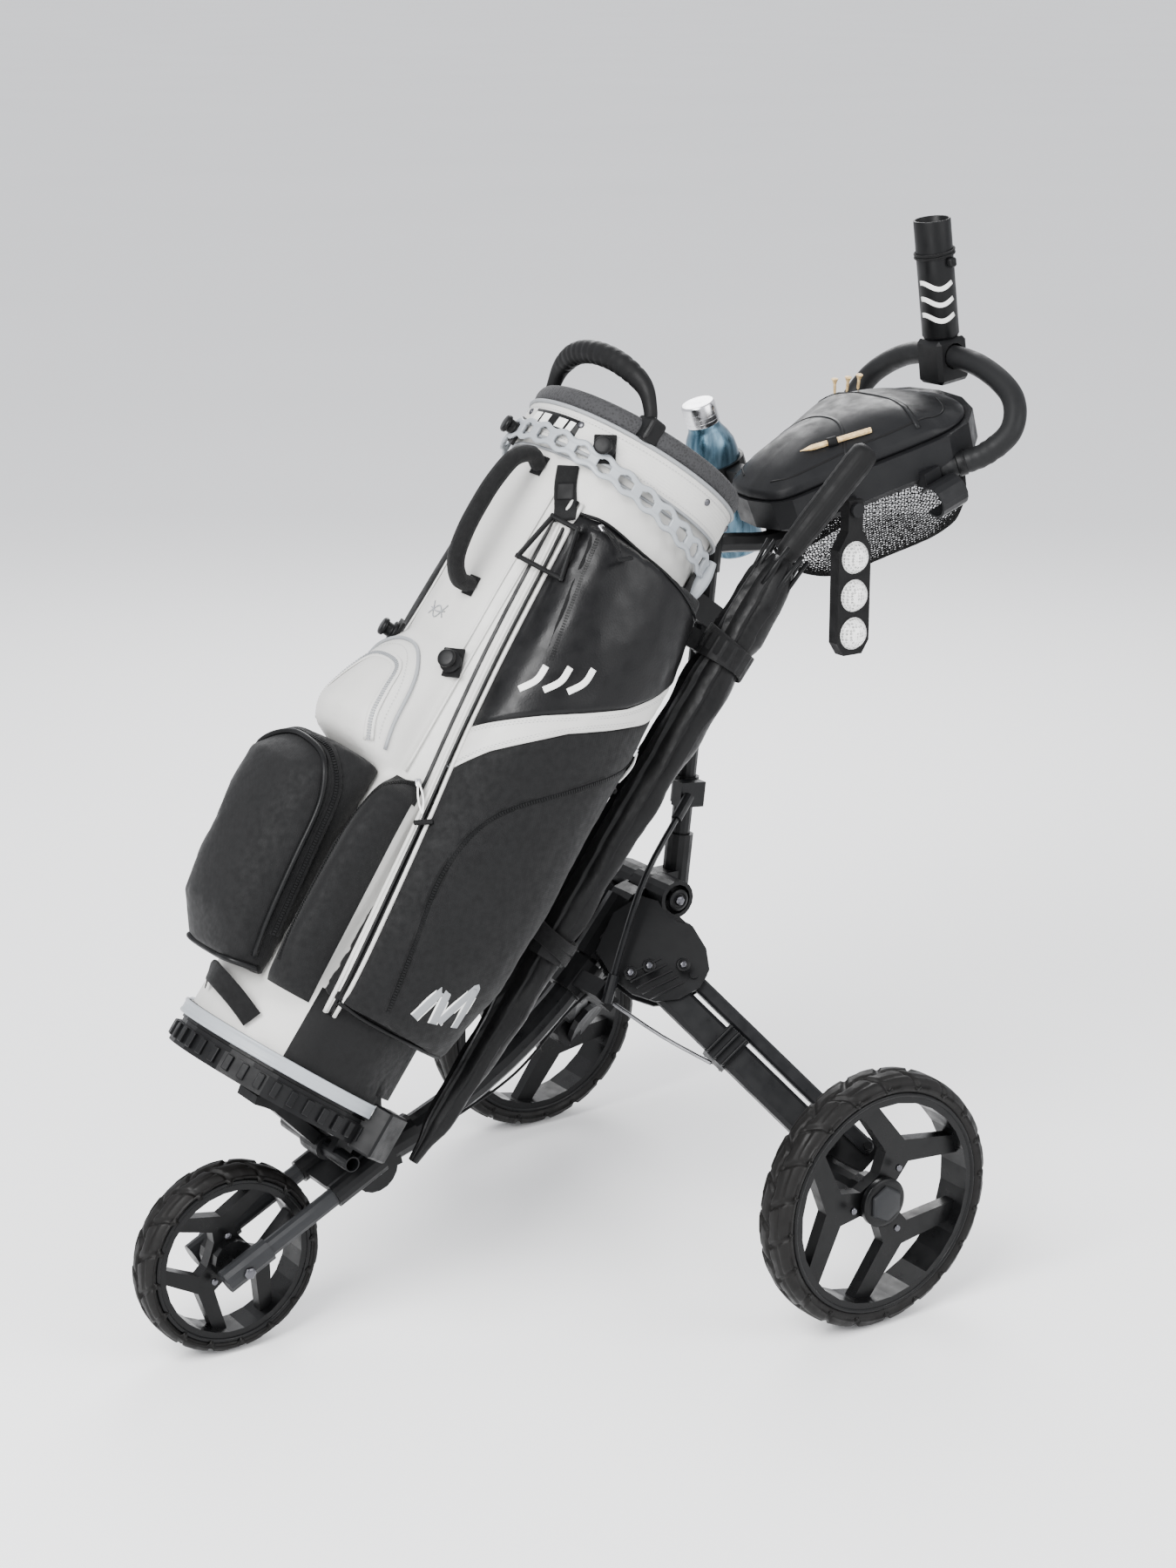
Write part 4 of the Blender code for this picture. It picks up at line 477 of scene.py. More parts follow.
# ---------------------------------------------------------------- tyres
def tyre(name, node, centre, radius, width, rim, body, pitches):
    """Foam tread: staggered blocks, stepped shoulders, deep cross grooves, zigzag centre."""
    per = 26
    n = pitches * per
    half = width / 2
    inner = rim + 0.001
    side = [(inner, -half * 0.80), (inner + 0.004, -half * 0.93),
        (inner + (radius - inner) * 0.45, -half * 0.985)]
    prof = [(r, w, 0.0) for r, w in side]
    for k in range(25):
        w = -1 + 2 * k / 24
        drop = 0.0105 * abs(w) ** 5 + 0.002 * w * w
        prof.append((radius - drop, w * half * 0.975, 1.0))
    prof += [(r, -w, 0.0) for r, w in side[::-1]]
    step = lambda e0, e1, x: max(0.0, min(1.0, (x - e0) / (e1 - e0)))
    verts = []
    for i in range(n):
        a = i / n
        for r, w, on in prof:
            if on:
                q = w / half
                ph = a * pitches + (0.5 if q > 0 else 0.0) + 0.42 * abs(q)
                f = ph - math.floor(ph)
                cut = 1 - step(0.055, 0.10, min(f, 1 - f))
                tri = abs((a * pitches) % 1.0 - 0.5) * 2
                mid = 1 - step(0.030, 0.075, abs(q - 0.16 * (tri - 0.5)))
                lug = 1 - step(0.03, 0.07, abs(abs(q) - 0.56 - 0.10 * (f - 0.5)))
                lip = 0.0012 * step(0.62, 0.72, abs(q)) * (1 - step(0.55, 0.6, f))
                r -= 0.0034 * max(cut, 0.8 * mid, 0.55 * lug) - lip * 0.6
                if abs(q) > 0.86:
                    r -= 0.0022 * cut
            t = 2 * math.pi * a
            verts.append(Vector((centre[0] + w, centre[1] + r * math.cos(t),
                centre[2] + r * math.sin(t))))
    o = piece(name, verts, [f[::-1] for f in grid_faces(n, len(prof), False, True)], "tyre",
        body)
    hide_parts(node)
    for s in (-1, 1):
        ring = [Vector((centre[0] + s * half * 0.80,
            centre[1] + (rim - 0.0008) * math.cos(2 * math.pi * k / 96),
                        centre[2] + (rim - 0.0008) * math.sin(2 * math.pi
                        * k / 96))) for k in range(96)]
        tube(f"{name}_bead_{'in' if s < 0 else 'out'}", ring, 0.0032, "rim", body, 10,
            closed=True)


WHEELS = (("rear_left", (0.365, 0.1825, 0.156), 0.156, 0.053, 0.1335, "left_wheel", 20),
          ("rear_right", (-0.365, 0.1825, 0.156), 0.156, 0.053, 0.1335, "right_wheel", 20),
          ("front", (0, -0.4753, 0.1134), 0.1134, 0.0485, 0.0975, "front_wheel", 16))
for name, c, r, w, rim, body, count in WHEELS:
    tyre(f"{name}_tread", f"{name}_tyre", c, r, w, rim, body, count)
    out = -1 if name == "rear_right" else 1
    for s in ((out,) if name != "front" else (1, -1)):
        face = Matrix.Translation((c[0] + s * w * 0.36, c[1], c[2])) @ Matrix.Rotation(s * rad(90),
            4, "Y")
        if name != "front":
            lathe(f"{name}_hub_ring", [(0.030, -0.006), (0.030, 0.001), (0.027, 0.003),
                (0.024, 0.003)], face,
                  "rim", body, 48)
            lathe(f"{name}_hub_cap", [(0.0225, 0.0), (0.0225, 0.006), (0.0195, 0.009),
                (0.010, 0.010)], face,
                  "sleeve", body, 6)
        for k in range(3):
            a = rad((60 if name != "front" else -20) + 120 * k)
            p = Vector((c[0] + s * w * 0.34, c[1] + math.cos(a) * rim * 0.33,
                c[2] + math.sin(a) * rim * 0.33))
            lathe(f"{name}_bolt_{k}_{'p' if s > 0 else 'n'}", [(0.0042, -0.002), (0.0042, 0.0016),
                (0.0026, 0.0024)],
                  aim(p, (s, 0, 0)), "screw", body, 16)


# ---------------------------------------------------------------- the bag
def bag(phi, s, r=0.5):
    a = rad(phi)
    return BAG @ Vector((r * math.cos(a), r * math.sin(a), s))


def bag_dir(phi):
    a = rad(phi)
    return (BAG.to_3x3() @ Vector((math.cos(a), math.sin(a), 0))).normalized()


def tree(*objs):
    verts, faces = [], []
    for o in objs:
        base = len(verts)
        verts += [v.co.copy() for v in o.data.vertices]
        faces += [tuple(base + i for i in p.vertices) for p in o.data.polygons]
    return BVHTree.FromPolygons(verts, faces)


def radial_field(bvh, phis, levels, fallback):
    f = np.empty((len(levels), len(phis)))
    for i, s in enumerate(levels):
        for j, p in enumerate(phis):
            hit = bvh.ray_cast(bag(p, s, 0.4), -bag_dir(p), 0.4)
            f[i, j] = 0.4 - hit[3] if hit[0] is not None and 0.4 - hit[3] > fallback - 0.03 else fallback
    return f


def soft(f, passes, weight=0.25):
    for _ in range(passes):
        f = (1 - 2 * weight) * f + weight * (np.roll(f, 1, 1) + np.roll(f, -1, 1))
        up = np.vstack([f[:1], f[:-1]])
        dn = np.vstack([f[1:], f[-1:]])
        f = (1 - 2 * weight) * f + weight * (up + dn)
    return f


def wrinkle(p, s, scale, seed=0.0):
    return noise(Vector((math.cos(rad(p)) * 2.2, math.sin(rad(p)) * 2.2, s * 9 + seed)) * scale)


cad_bag = tree(NODES["bag_body"])
PHI_STEP = 2.0
phis = np.arange(0, 360, PHI_STEP)
levels = np.concatenate([np.linspace(0.020, 0.77, 130), np.linspace(0.776, 0.815, 6)])
R = soft(radial_field(cad_bag, phis, levels, 0.128), 3)
verts = []
for i, s in enumerate(levels):
    for j, p in enumerate(phis):
        front = math.exp(-((p + 90 + 180) % 360 - 180) ** 2 / 2400)
        verts.append(bag(p, s, R[i, j] + 0.0016 * wrinkle(p, s, 1.6) * (0.4 + front)))
inner = [bag(p, s, 0.1222) for s in (0.815, 0.6, 0.3, 0.03) for p in phis]
verts += inner
nrow = len(levels) + 4
faces = grid_faces(nrow, len(phis), True)
faces.append(tuple(range((nrow - 1) * len(phis), nrow * len(phis))))
back = []
for f in faces[:-1]:
    j = f[0] % len(phis)
    i = f[0] // len(phis)
    near = (phis[j] + 180) % 360 - 180
    dark = 55 < phis[j] < 215 or i >= len(levels) - 1 or (levels[i] < 0.106 and -40 < near < 60)
    back.append(1 if dark else 0)
back.append(1)
body = piece("bag_shell", verts, faces, None, mats=["cream", "pack_cloth"],
    index=back)
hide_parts("bag_body")

PUFF = (3.0, 0.006)     # air pressure, and the furthest a point may travel
pockets = [remeshed(f"{node}_padded", node, "twill", 0.0045, 8, puff=PUFF)
           for node in ("front_pocket", "side_pocket_left", "side_pocket_right")]
for o, f in zip(pockets, (0.7, 0.6, 0.6)):
    modifier(o, "SUBSURF", levels=1, render_levels=1)
skin = tree(body, *pockets)
plain = tree(body)

SKIN_STEP = 0.004
SKIN_S = np.arange(0.0, 0.8001, SKIN_STEP)
raw = radial_field(skin, phis, SKIN_S, 0.128)
FIELD = {id(skin): np.maximum(raw, soft(raw, 5)), id(plain): soft(radial_field(plain, phis, SKIN_S,
    0.128), 4)}


def skin_r(phi, s, surface):
    f = FIELD[id(surface)]
    x, y = (phi % 360) / PHI_STEP, min(max(s / SKIN_STEP, 0), len(SKIN_S) - 1.001)
    i, j = int(y), int(x)
    a, b = y - i, x - j
    j0, j1 = j % len(phis), (j + 1) % len(phis)
    return float((f[i, j0] * (1 - b) + f[i, j1] * b) * (1 - a) + (f[i + 1, j0] * (1 - b) + f[i + 1,
        j1] * b) * a)


def hug(phi, s, surface=None, lift=0.0):
    """A point on the bag's covered surface, with its outward normal."""
    surface = surface or skin
    p = bag(phi, s, skin_r(phi, s, surface))
    dp = bag(phi + 2, s, skin_r(phi + 2, s, surface)) - bag(phi - 2, s, skin_r(phi - 2, s, surface))
    ds = bag(phi, s + 0.006, skin_r(phi, s + 0.006, surface)) - bag(phi, s - 0.006, skin_r(phi,
        s - 0.006, surface))
    n = dp.cross(ds).normalized()
    d = bag_dir(phi)
    if n.dot(d) < 0:
        n = -n
    return p + n * (0.0008 + lift), (n * 0.8 + d * 0.2).normalized()


def laid(points, per=10, surface=None, lift=0.0):
    """Points (angle, height) on the bag, joined by a smooth line that lies on it."""
    path = smooth_path([(p, s * 1000, 0) for p, s in points], per)
    found = [hug(q.x, q.y / 1000, surface, lift) for q in path]
    pts, nrm = [f[0] for f in found], [f[1] for f in found]
    for _ in range(3):
        pts = [pts[0]] + [(pts[i - 1] + pts[i] * 2 + pts[i + 1]) / 4 for i in range(1,
            len(pts) - 1)] + [pts[-1]]
        nrm = [nrm[0]] + [(nrm[i - 1] + nrm[i] * 2 + nrm[i + 1]).normalized() for i in range(1,
            len(nrm) - 1)] + [nrm[-1]]
    return pts, nrm


def piping(name, points, radius, mat, per=10):
    pts, nrm = laid(points, per)
    return tube(name, [p + n * radius * 0.4 for p, n in zip(pts, nrm)],
        radius, mat, sides=10)


def zipper(name, points, per=10, tape=0.013, surface=None, mat="zip"):
    """Woven tape with a raised row of teeth down its middle."""
    pts, nrm = laid(points, per, surface)
    ribbon(f"{name}_tape", pts, nrm, tape, 0.0014, "webbing" if mat == "zip" else mat,
        lift=-0.0004)
    length = sum((pts[i + 1] - pts[i]).length for i in range(len(pts) - 1))
    count = int(length / 0.0032)
    verts, faces = [], []
    at = 0.0
    seg = [(pts[i + 1] - pts[i]).length for i in range(len(pts) - 1)]
    i = 0
    for k in range(count):
        want = (k + 0.5) * length / count
        while i < len(seg) - 1 and at + seg[i] < want:
            at += seg[i]
            i += 1
        t = (want - at) / max(seg[i], 1e-9)
        p = pts[i].lerp(pts[i + 1], t)
        n = nrm[i].lerp(nrm[i + 1], t).normalized()
        d = (pts[i + 1] - pts[i]).normalized()
        w = d.cross(n).normalized()
        base = len(verts)
        for a, b, c in [(x, y, z) for x in (-1, 1) for y in (-1, 1) for z in (0, 1)]:
            verts.append(p + d * (a * 0.0010) + w * (b * (0.0026 - 0.0007
                * c)) + n * (0.0009 + c * 0.0013))
        faces += [tuple(base + q for q in f) for f in CUBE_FACES]
    piece(f"{name}_teeth", verts, faces, "bag_plastic" if mat == "zip" else "binding",
        smooth=False)
    return pts, nrm


def stitch_faces(b):
    """The four sides of one stitch: a flat diamond at b to b + 3, with its peak at b + 4."""
    return [(b, b + 1, b + 4), (b + 1, b + 2, b + 4), (b + 2, b + 3, b + 4), (b + 3, b, b + 4)]


def stitches(name, points, mat="white_cord", surface=None, per=10, pitch=0.0045, lift=0.0006):
    pts, nrm = laid(points, per, surface, lift)
    verts, faces = [], []
    carry = 0.0
    for i in range(len(pts) - 1):
        seg = pts[i + 1] - pts[i]
        d = seg.normalized()
        w = d.cross(nrm[i]).normalized()
        x = carry
        while x < seg.length:
            p = pts[i] + d * x + nrm[i] * 0.0003
            base = len(verts)
            for a, b in ((-0.0014, 0), (0, 1), (0.0014, 0), (0, -1)):
                verts.append(p + d * a + w * (b * 0.0004))
            verts.append(p + nrm[i] * 0.0005)
            faces += stitch_faces(base)
            x += pitch
        carry = x - seg.length
    return piece(name, verts, faces, mat)


def panel(name, low, high, left, right, thick, mat,
        rows=50, cols=26, surface=None, edge=0.004):
    """A sewn panel between two heights; left and right are [(height, angle), ...]."""
    ls, lp = zip(*left)
    rs, rp = zip(*right)
    verts = []
    for i in range(rows + 1):
        s = low + (high - low) * i / rows
        a, b = np.interp(s, ls, lp), np.interp(s, rs, rp)
        for j in range(cols + 1):
            p = a + (b - a) * j / cols
            q = hug(p, s, surface)[0]
            span = abs(b - a) * math.pi / 180 * 0.135
            near = min(j / cols * span, (1 - j / cols) * span, (s - low), (high - s))
            verts.append(q + bag_dir(p) * (thick * math.sqrt(min(1.0, max(0.0,
                near) / edge)) - 0.0002
                                           + 0.0007 * wrinkle(p, s, 3.0, 4.0) * min(1,
                                               near / 0.02)))
    return piece(name, verts, grid_faces(rows + 1, cols + 1), mat)


# the cuff, its binding and the padded air-mesh collar
CUFF_R = 0.1342
CUFF_STEPS = 160
CUFF_STITCHES = 190


def ring_of(name, profile, mat):
    """profile is (radius, height) round the bag's axis, closed."""
    verts = [bag(360 * k / CUFF_STEPS, s, r) for r, s in profile for k in range(CUFF_STEPS)]
    return piece(name, verts, grid_faces(len(profile), CUFF_STEPS, True, True), mat)


cuff = ring_of("cuff_band", [(0.1290, 0.772), (CUFF_R - 0.0010, 0.7705), (CUFF_R, 0.773),
    (CUFF_R + 0.0004, 0.790),
                             (CUFF_R, 0.812), (CUFF_R - 0.0012, 0.8145), (0.1290, 0.8142)],
                             "cream_ribbed")
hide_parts("bag_cuff")
roll = [(0.1265 + 0.0085 * math.cos(rad(a)), 0.8265 + 0.0130 * math.sin(rad(a))) for a in range(0,
    360, 20)]
ring_of("collar_roll", roll, "air_mesh")
for k, (r, s, w, m) in enumerate(((CUFF_R + 0.0004, 0.8145, 0.0026, "binding"),
    (CUFF_R + 0.0002, 0.7712, 0.0022, "binding"),
                                  (0.1282, 0.7610, 0.0018, "binding"))):
    ring_of(f"cuff_binding_{k}", [(r + w * math.cos(rad(a)),
        s + w * math.sin(rad(a))) for a in range(0, 360, 45)],
            m)
for k, s in enumerate((0.777, 0.806)):
    verts, faces = [], []
    for i in range(CUFF_STITCHES):
        a = 360 * i / CUFF_STITCHES
        p = bag(a, s, CUFF_R + 0.0007)
        d = (bag(a + 1, s, CUFF_R) - bag(a, s, CUFF_R)).normalized()
        b = len(verts)
        verts += [p - d * 0.0015, p + BAG_UP * 0.0004, p + d * 0.0015, p - BAG_UP * 0.0004,
            p + bag_dir(a) * 0.0005]
        faces += stitch_faces(b)
    piece(f"cuff_stitching_{k}", verts, faces, "binding")
for k, a in enumerate((-108, -66, 12, 50)):
    lathe(f"cuff_rivet_{k}", [(0.0042, -0.001), (0.0042, 0.0008), (0.0026, 0.0018)],
        aim(bag(a, 0.800, CUFF_R + 0.0006),
          bag_dir(a)), "screw", steps=20)
# plain badge on the cuff
badge = [[bag(a, s, CUFF_R + (0.0024 if 0 < i < 5 and 0 < j < 17 else 0.0004)) for j, a in
          enumerate(np.linspace(-101, -66, 18))] for i, s in enumerate((0.7825, 0.7832, 0.790,
              0.797, 0.8032, 0.804))]
piece("cuff_badge", [v for row in badge for v in row], grid_faces(6, 18), "bag_plastic")
for k, (a, b) in enumerate(((-99, -93), (-91.5, -85.5), (-80, -74), (-72.5, -69))):
    slab = [[bag(p + (0.9 if s > 0.79 else 0), s, CUFF_R + 0.0029) for p in np.linspace(a, b,
        6)] for s in (0.787, 0.7993)]
    piece(f"cuff_badge_bar_{k}", [v for row in slab for v in row], grid_faces(2, 6), "print")

# panels of the near side
EDGE = [(0.085, -31), (0.20, -34), (0.33, -38.5), (0.45, -44), (0.555, -47.5),
    (0.72, -50.5)]   # the pale piping line
at = lambda s: float(np.interp(s, [q[0] for q in EDGE], [q[1] for q in EDGE]))
BAND_TOP = [(-44, 0.428), (-38, 0.440), (-32, 0.453), (-15, 0.490), (14, 0.547), (31, 0.592),
    (49, 0.628)]
BAND_LOW = [(-44, 0.352), (-38, 0.380), (-26, 0.424), (-3.5, 0.485), (20, 0.531), (49, 0.580)]
PANEL_TOP = [(-50, 0.706), (-42, 0.708), (-30, 0.713), (-8, 0.704), (17, 0.692), (49, 0.672)]
on = lambda line, p: float(np.interp(p, [q[0] for q in line], [q[1] for q in line]))


def slanted(name, low, high, thick, mat,
        rows=40, cols=60, edge=0.004, right=48.5):
    """A sewn panel between two slanting lines, from the pocket's front edge round to its back."""
    verts = []
    for i in range(rows + 1):
        y = i / rows
        left = -40.0
        for _ in range(6):
            left = at(on(low, left) * (1 - y) + on(high, left) * y) + 5.5
        for j in range(cols + 1):
            p = left + (right - left) * j / cols
            a, b = on(low, p), on(high, p)
            s = a + (b - a) * y
            q = hug(p, s)[0]
            span = (right - left) * math.pi / 180 * 0.145
            near = min(j / cols * span, (1 - j / cols) * span, s - a, b - s)
            verts.append(q + bag_dir(p) * (thick * math.sqrt(min(1.0, max(0.0,
                near) / edge)) - 0.0002
                                           + 0.0010 * wrinkle(p, s, 3.0, 4.0) * min(1,
                                               near / 0.02)))
    return piece(name, verts, grid_faces(rows + 1, cols + 1), mat)


lowered = lambda line, d: [(p, s - d) for p, s in line]
slanted("upper_side_panel", BAND_TOP, PANEL_TOP, 0.0022, "gloss_black", rows=60)
slanted("pale_band", BAND_LOW, lowered(BAND_TOP, 0.002), 0.0018, "cream", rows=16)
slanted("lower_side_panel", [(-60, 0.104), (60, 0.104)], lowered(BAND_LOW, 0.002), 0.0012, "twill",
    rows=70)
for k, (line, d) in enumerate(((BAND_LOW, -0.0045), (BAND_LOW, -0.0075), (BAND_TOP, 0.0065),
        (BAND_TOP, 0.0095))):
    stitches(f"band_stitching_{k}", [(p, s - d) for p, s in line if -40 < p < 48], "binding",
        lift=0.0018)
# the pale double piping down the front edge of the side pocket
for k, (off, w) in enumerate(((0.0, 0.0026), (2.6, 0.0022), (5.2, 0.0024))):
    pts = [(a + off, s) for s, a in EDGE]
    piping(f"edge_piping_{k}", pts, w, ("cream", "bag_plastic", "cream")[k], per=14)
pts, nrm = laid([(a + 1.4, s) for s, a in EDGE], 14)
ribbon("edge_band", pts, nrm, 0.010, 0.0012, "cream")
pts, nrm = laid([(a - 4.5, s) for s, a in EDGE[2:]], 14)
ribbon("edge_shadow_band", pts, nrm, 0.004, 0.0008, "bag_plastic")
# zips of the near side
zipper("side_zip", [(-31, 0.700), (-28, 0.64), (-25, 0.58), (-23, 0.545)], 12, 0.018)
zipper("cooler_zip", [(-8.6, 0.118), (-14, 0.194), (-18.6, 0.282), (-12.5, 0.363), (10.7, 0.437),
    (27.9, 0.482),
                      (44, 0.522)], 12, 0.012)
piping("side_pocket_piping_low", [(-28, 0.103), (-15, 0.100), (0, 0.100), (20, 0.102), (40, 0.104)],
    0.0030, "bag_plastic")
piping("side_pocket_piping_back", [(47, 0.11), (48.5, 0.25), (48.5, 0.40), (48.5, 0.55),
    (44, 0.69)], 0.0028,
       "bag_plastic")
piping("side_panel_top", [(-44, 0.709), (-30, 0.714), (-8, 0.705), (17, 0.693), (44, 0.676)],
    0.0020, "bag_plastic")
# generic strokes in place of the printed badges
for k, (a, s) in enumerate(((2, 0.128), (13, 0.136))):
    out = []
    for t in np.linspace(0, 1, 9):
        out.append((a + 9 * t, s + 0.055 * (1 - abs(2 * t - 1)) + 0.004 * t))
    pts, nrm = laid(out, 4)
    ribbon(f"pocket_chevron_{k}_edge", pts, nrm, 0.0150, 0.0010, "print")
    ribbon(f"pocket_chevron_{k}", pts, nrm, 0.0110, 0.0014, "binding")
for k in range(3):
    pts, nrm = laid([(-28 + 8 * k, 0.500 + 0.012 * k), (-24 + 8 * k, 0.518 + 0.012 * k),
        (-23.5 + 8 * k, 0.537 + 0.012 * k)], 8)
    ribbon(f"panel_mark_{k}", pts, nrm, 0.0075, 0.0010, "print", lift=0.0018)
# mid pocket, upper front pocket and front pocket
panel("mid_pocket_skin", 0.085, 0.352, [(0.08, -62), (0.25, -65), (0.352, -58)], [(0.08, -40),
    (0.352, -44)], 0.0014,
      "twill", rows=50, cols=20)
zipper("mid_zip", [(-58, 0.11), (-61, 0.20), (-61, 0.29), (-55, 0.34), (-47, 0.352)], 12, 0.011)
zipper("front_zip", [(-68, 0.13), (-69, 0.22), (-71, 0.30), (-78, 0.335), (-90, 0.343),
    (-104, 0.340), (-114, 0.30),
                     (-116, 0.22), (-114, 0.13)], 12, 0.013)
piping("front_piping_0", [(-68, 0.09), (-80, 0.084), (-92, 0.083), (-105, 0.084), (-116, 0.09)],
    0.0035, "bag_plastic")
piping("front_piping_1", [(-70.5, 0.10), (-71, 0.20), (-72.5, 0.285), (-78, 0.325), (-90, 0.338),
    (-103, 0.334), (-111, 0.295),
                          (-113.5, 0.20), (-113, 0.10)], 0.0036, "bag_plastic")
for k, (a0, a1, top) in enumerate(((-118, -66, 0.490), (-112, -72, 0.462))):
    arc = [(a0, 0.37), (a0 + 4, top - 0.035), ((a0 + a1) / 2 - 10, top), ((a0 + a1) / 2 + 10, top),
        (a1 - 4, top - 0.035),
           (a1, 0.37)]
    if k:
        zipper("upper_front_zip", arc, 12, 0.012, mat="cream")
    else:
        piping("upper_front_piping", arc, 0.0022, "binding")
stitches("upper_front_stitching", [(-116, 0.375), (-111, 0.445), (-100, 0.480), (-84, 0.480),
    (-73, 0.445), (-69, 0.375)],
         "binding")
for k, (a, lo, hi) in enumerate(((-125, 0.38, 0.755), (-62, 0.50, 0.735), (-56, 0.36, 0.735))):
    piping(f"front_seam_{k}", [(a, lo), (a, (lo + hi) / 2), (a + 1, hi)], 0.0014, "cream")
for k in range(3):
    pts, nrm = laid([(-98, 0.535 + 0.008 * k), (-92, 0.548 - 0.008 * k), (-86, 0.535 + 0.008 * k)],
        8)
    ribbon(f"cross_stitching_{k}", pts, nrm, 0.0012, 0.0005, "binding")

# pulls
for k, (a, s, hang) in enumerate(((-31, 0.702, -0.045), (-47, 0.354, -0.055), (41, 0.516, -0.055),
        (-112, 0.318, 0.03))):
    p, nn = hug(a, s)
    box(f"pull_slider_{k}", (0.007, 0.010, 0.005), aim(p + nn * 0.003, nn), "chrome",
        bevel=0.0015)
    down = Vector((0, 0, -1)) - nn * Vector((0, 0, -1)).dot(nn)
    down.normalize()
    a0 = p + nn * 0.006
    loop = smooth_path([a0, a0 + down * 0.014 + nn * 0.003, a0 + down * 0.028 + nn * 0.002,
        a0 + down * 0.040], 6)
    side = down.cross(nn)
    for q, sgn in enumerate((-1, 1)):
        cordpts = [c + side * (sgn * 0.0028 * math.sin(math.pi * i / (len(loop) - 1))) for i,
            c in enumerate(loop)]
        tube(f"pull_cord_{k}_{q}", cordpts, 0.0011, "white_cord" if k else "webbing",
            sides=8)
    box(f"pull_grip_{k}", (0.006, 0.022, 0.004), aim(loop[-1] + down * 0.010, nn,
        down.cross(nn)) @ Matrix.Rotation(rad(90), 4, "Z")
        @ Matrix.Rotation(rad(90), 4, "Z"), "rubber", bevel=0.0018)

# snap knobs that close the bag's rain hood
for k, (u, v, s) in enumerate(((-0.05, -0.142, 0.773), (0.095, -0.108, 0.786),
        (-0.05, -0.13, 0.498), (0.062, -0.118, 0.492))):
    a = math.degrees(math.atan2(v, u))
    p, nn = hug(a, s) if s < 0.76 else (bag(a, s, CUFF_R + 0.001), bag_dir(a))
    m = aim(p, bag_dir(a))
    box(f"knob_base_{k}", (0.026, 0.034, 0.004), m @ Matrix.Translation((0, 0, 0.001)), "webbing",
        bevel=0.0012)
    lathe(f"knob_{k}", [(0.0125, 0.002), (0.0132, 0.004), (0.0130, 0.0065), (0.0085, 0.0080),
        (0.0080, 0.0140), (0.0105, 0.0150),
                        (0.0108, 0.0185), (0.0090, 0.0205), (0.0040, 0.0210)], m, "bag_plastic")

# top handle: moulded rubber with finger grooves
top = smooth_path([BAG @ Vector(q) for q in ((-0.104, -0.073, 0.8330), (-0.100, -0.082, 0.852),
    (-0.084, -0.096, 0.8735),
      (-0.045, -0.113, 0.8870), (0, -0.120, 0.8906), (0.045, -0.113, 0.8870),
      (0.084, -0.096, 0.8735),
      (0.100, -0.082, 0.852), (0.104, -0.073, 0.8330))], 14)
grip = tube("top_handle_rubber", top, lambda t, a: 0.0080 + 0.0052 * math.exp(-((t
    - 0.5) / 0.28) ** 4)
            + 0.0007 * math.cos(2 * a) - 0.0009 * (abs(t - 0.5) < 0.22 and math.cos(t
                * 190) > 0.55), "rubber",
            sides=20)
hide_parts("top_handle")
for k, sgn in enumerate((-1, 1)):
    foot = BAG @ Vector((sgn * 0.104, -0.073, 0.830))
    box(f"top_handle_foot_{k}", (0.030, 0.024, 0.030), aim(foot, BAG_UP, (0, 1, 0)), "bag_plastic",
        bevel=0.005)
# carry handle: padded webbing over a core
lo, hi = 0.582, 0.740
mid = [(0.130, hi), (0.150, hi + 0.004), (0.170, hi - 0.012), (0.179, hi - 0.045),
    (0.181, (lo + hi) / 2), (0.179, lo + 0.045),
       (0.170, lo + 0.014), (0.150, lo - 0.002), (0.130, lo)]
carry = tube("carry_handle_webbing", smooth_path([bag(-78, s, r) for r, s in mid], 10),
             lambda t, a: 0.0088 + 0.0012 * abs(math.sin(a)) - 0.0005 * math.cos(12 * a), "webbing",
             sides=24)
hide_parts("carry_handle")
for k, s in enumerate((lo, hi)):
    pts, nrm = laid([(-78, s - 0.012), (-78, s), (-78, s + 0.012)], 8, plain)
    ribbon(f"carry_handle_tab_{k}", pts, nrm, 0.017, 0.0018, "webbing")

# towel strap above its ring
pts, nrm = laid([(-62, 0.752), (-58, 0.730), (-52, 0.708), (-48, 0.692)], 8)
ribbon("towel_strap", pts, nrm, 0.026, 0.0032, "webbing")
pts, nrm = laid([(-58, 0.733), (-54, 0.715)], 8)
ribbon("towel_strap_patch", pts, nrm, 0.020, 0.0012, "rubber", lift=0.0032)


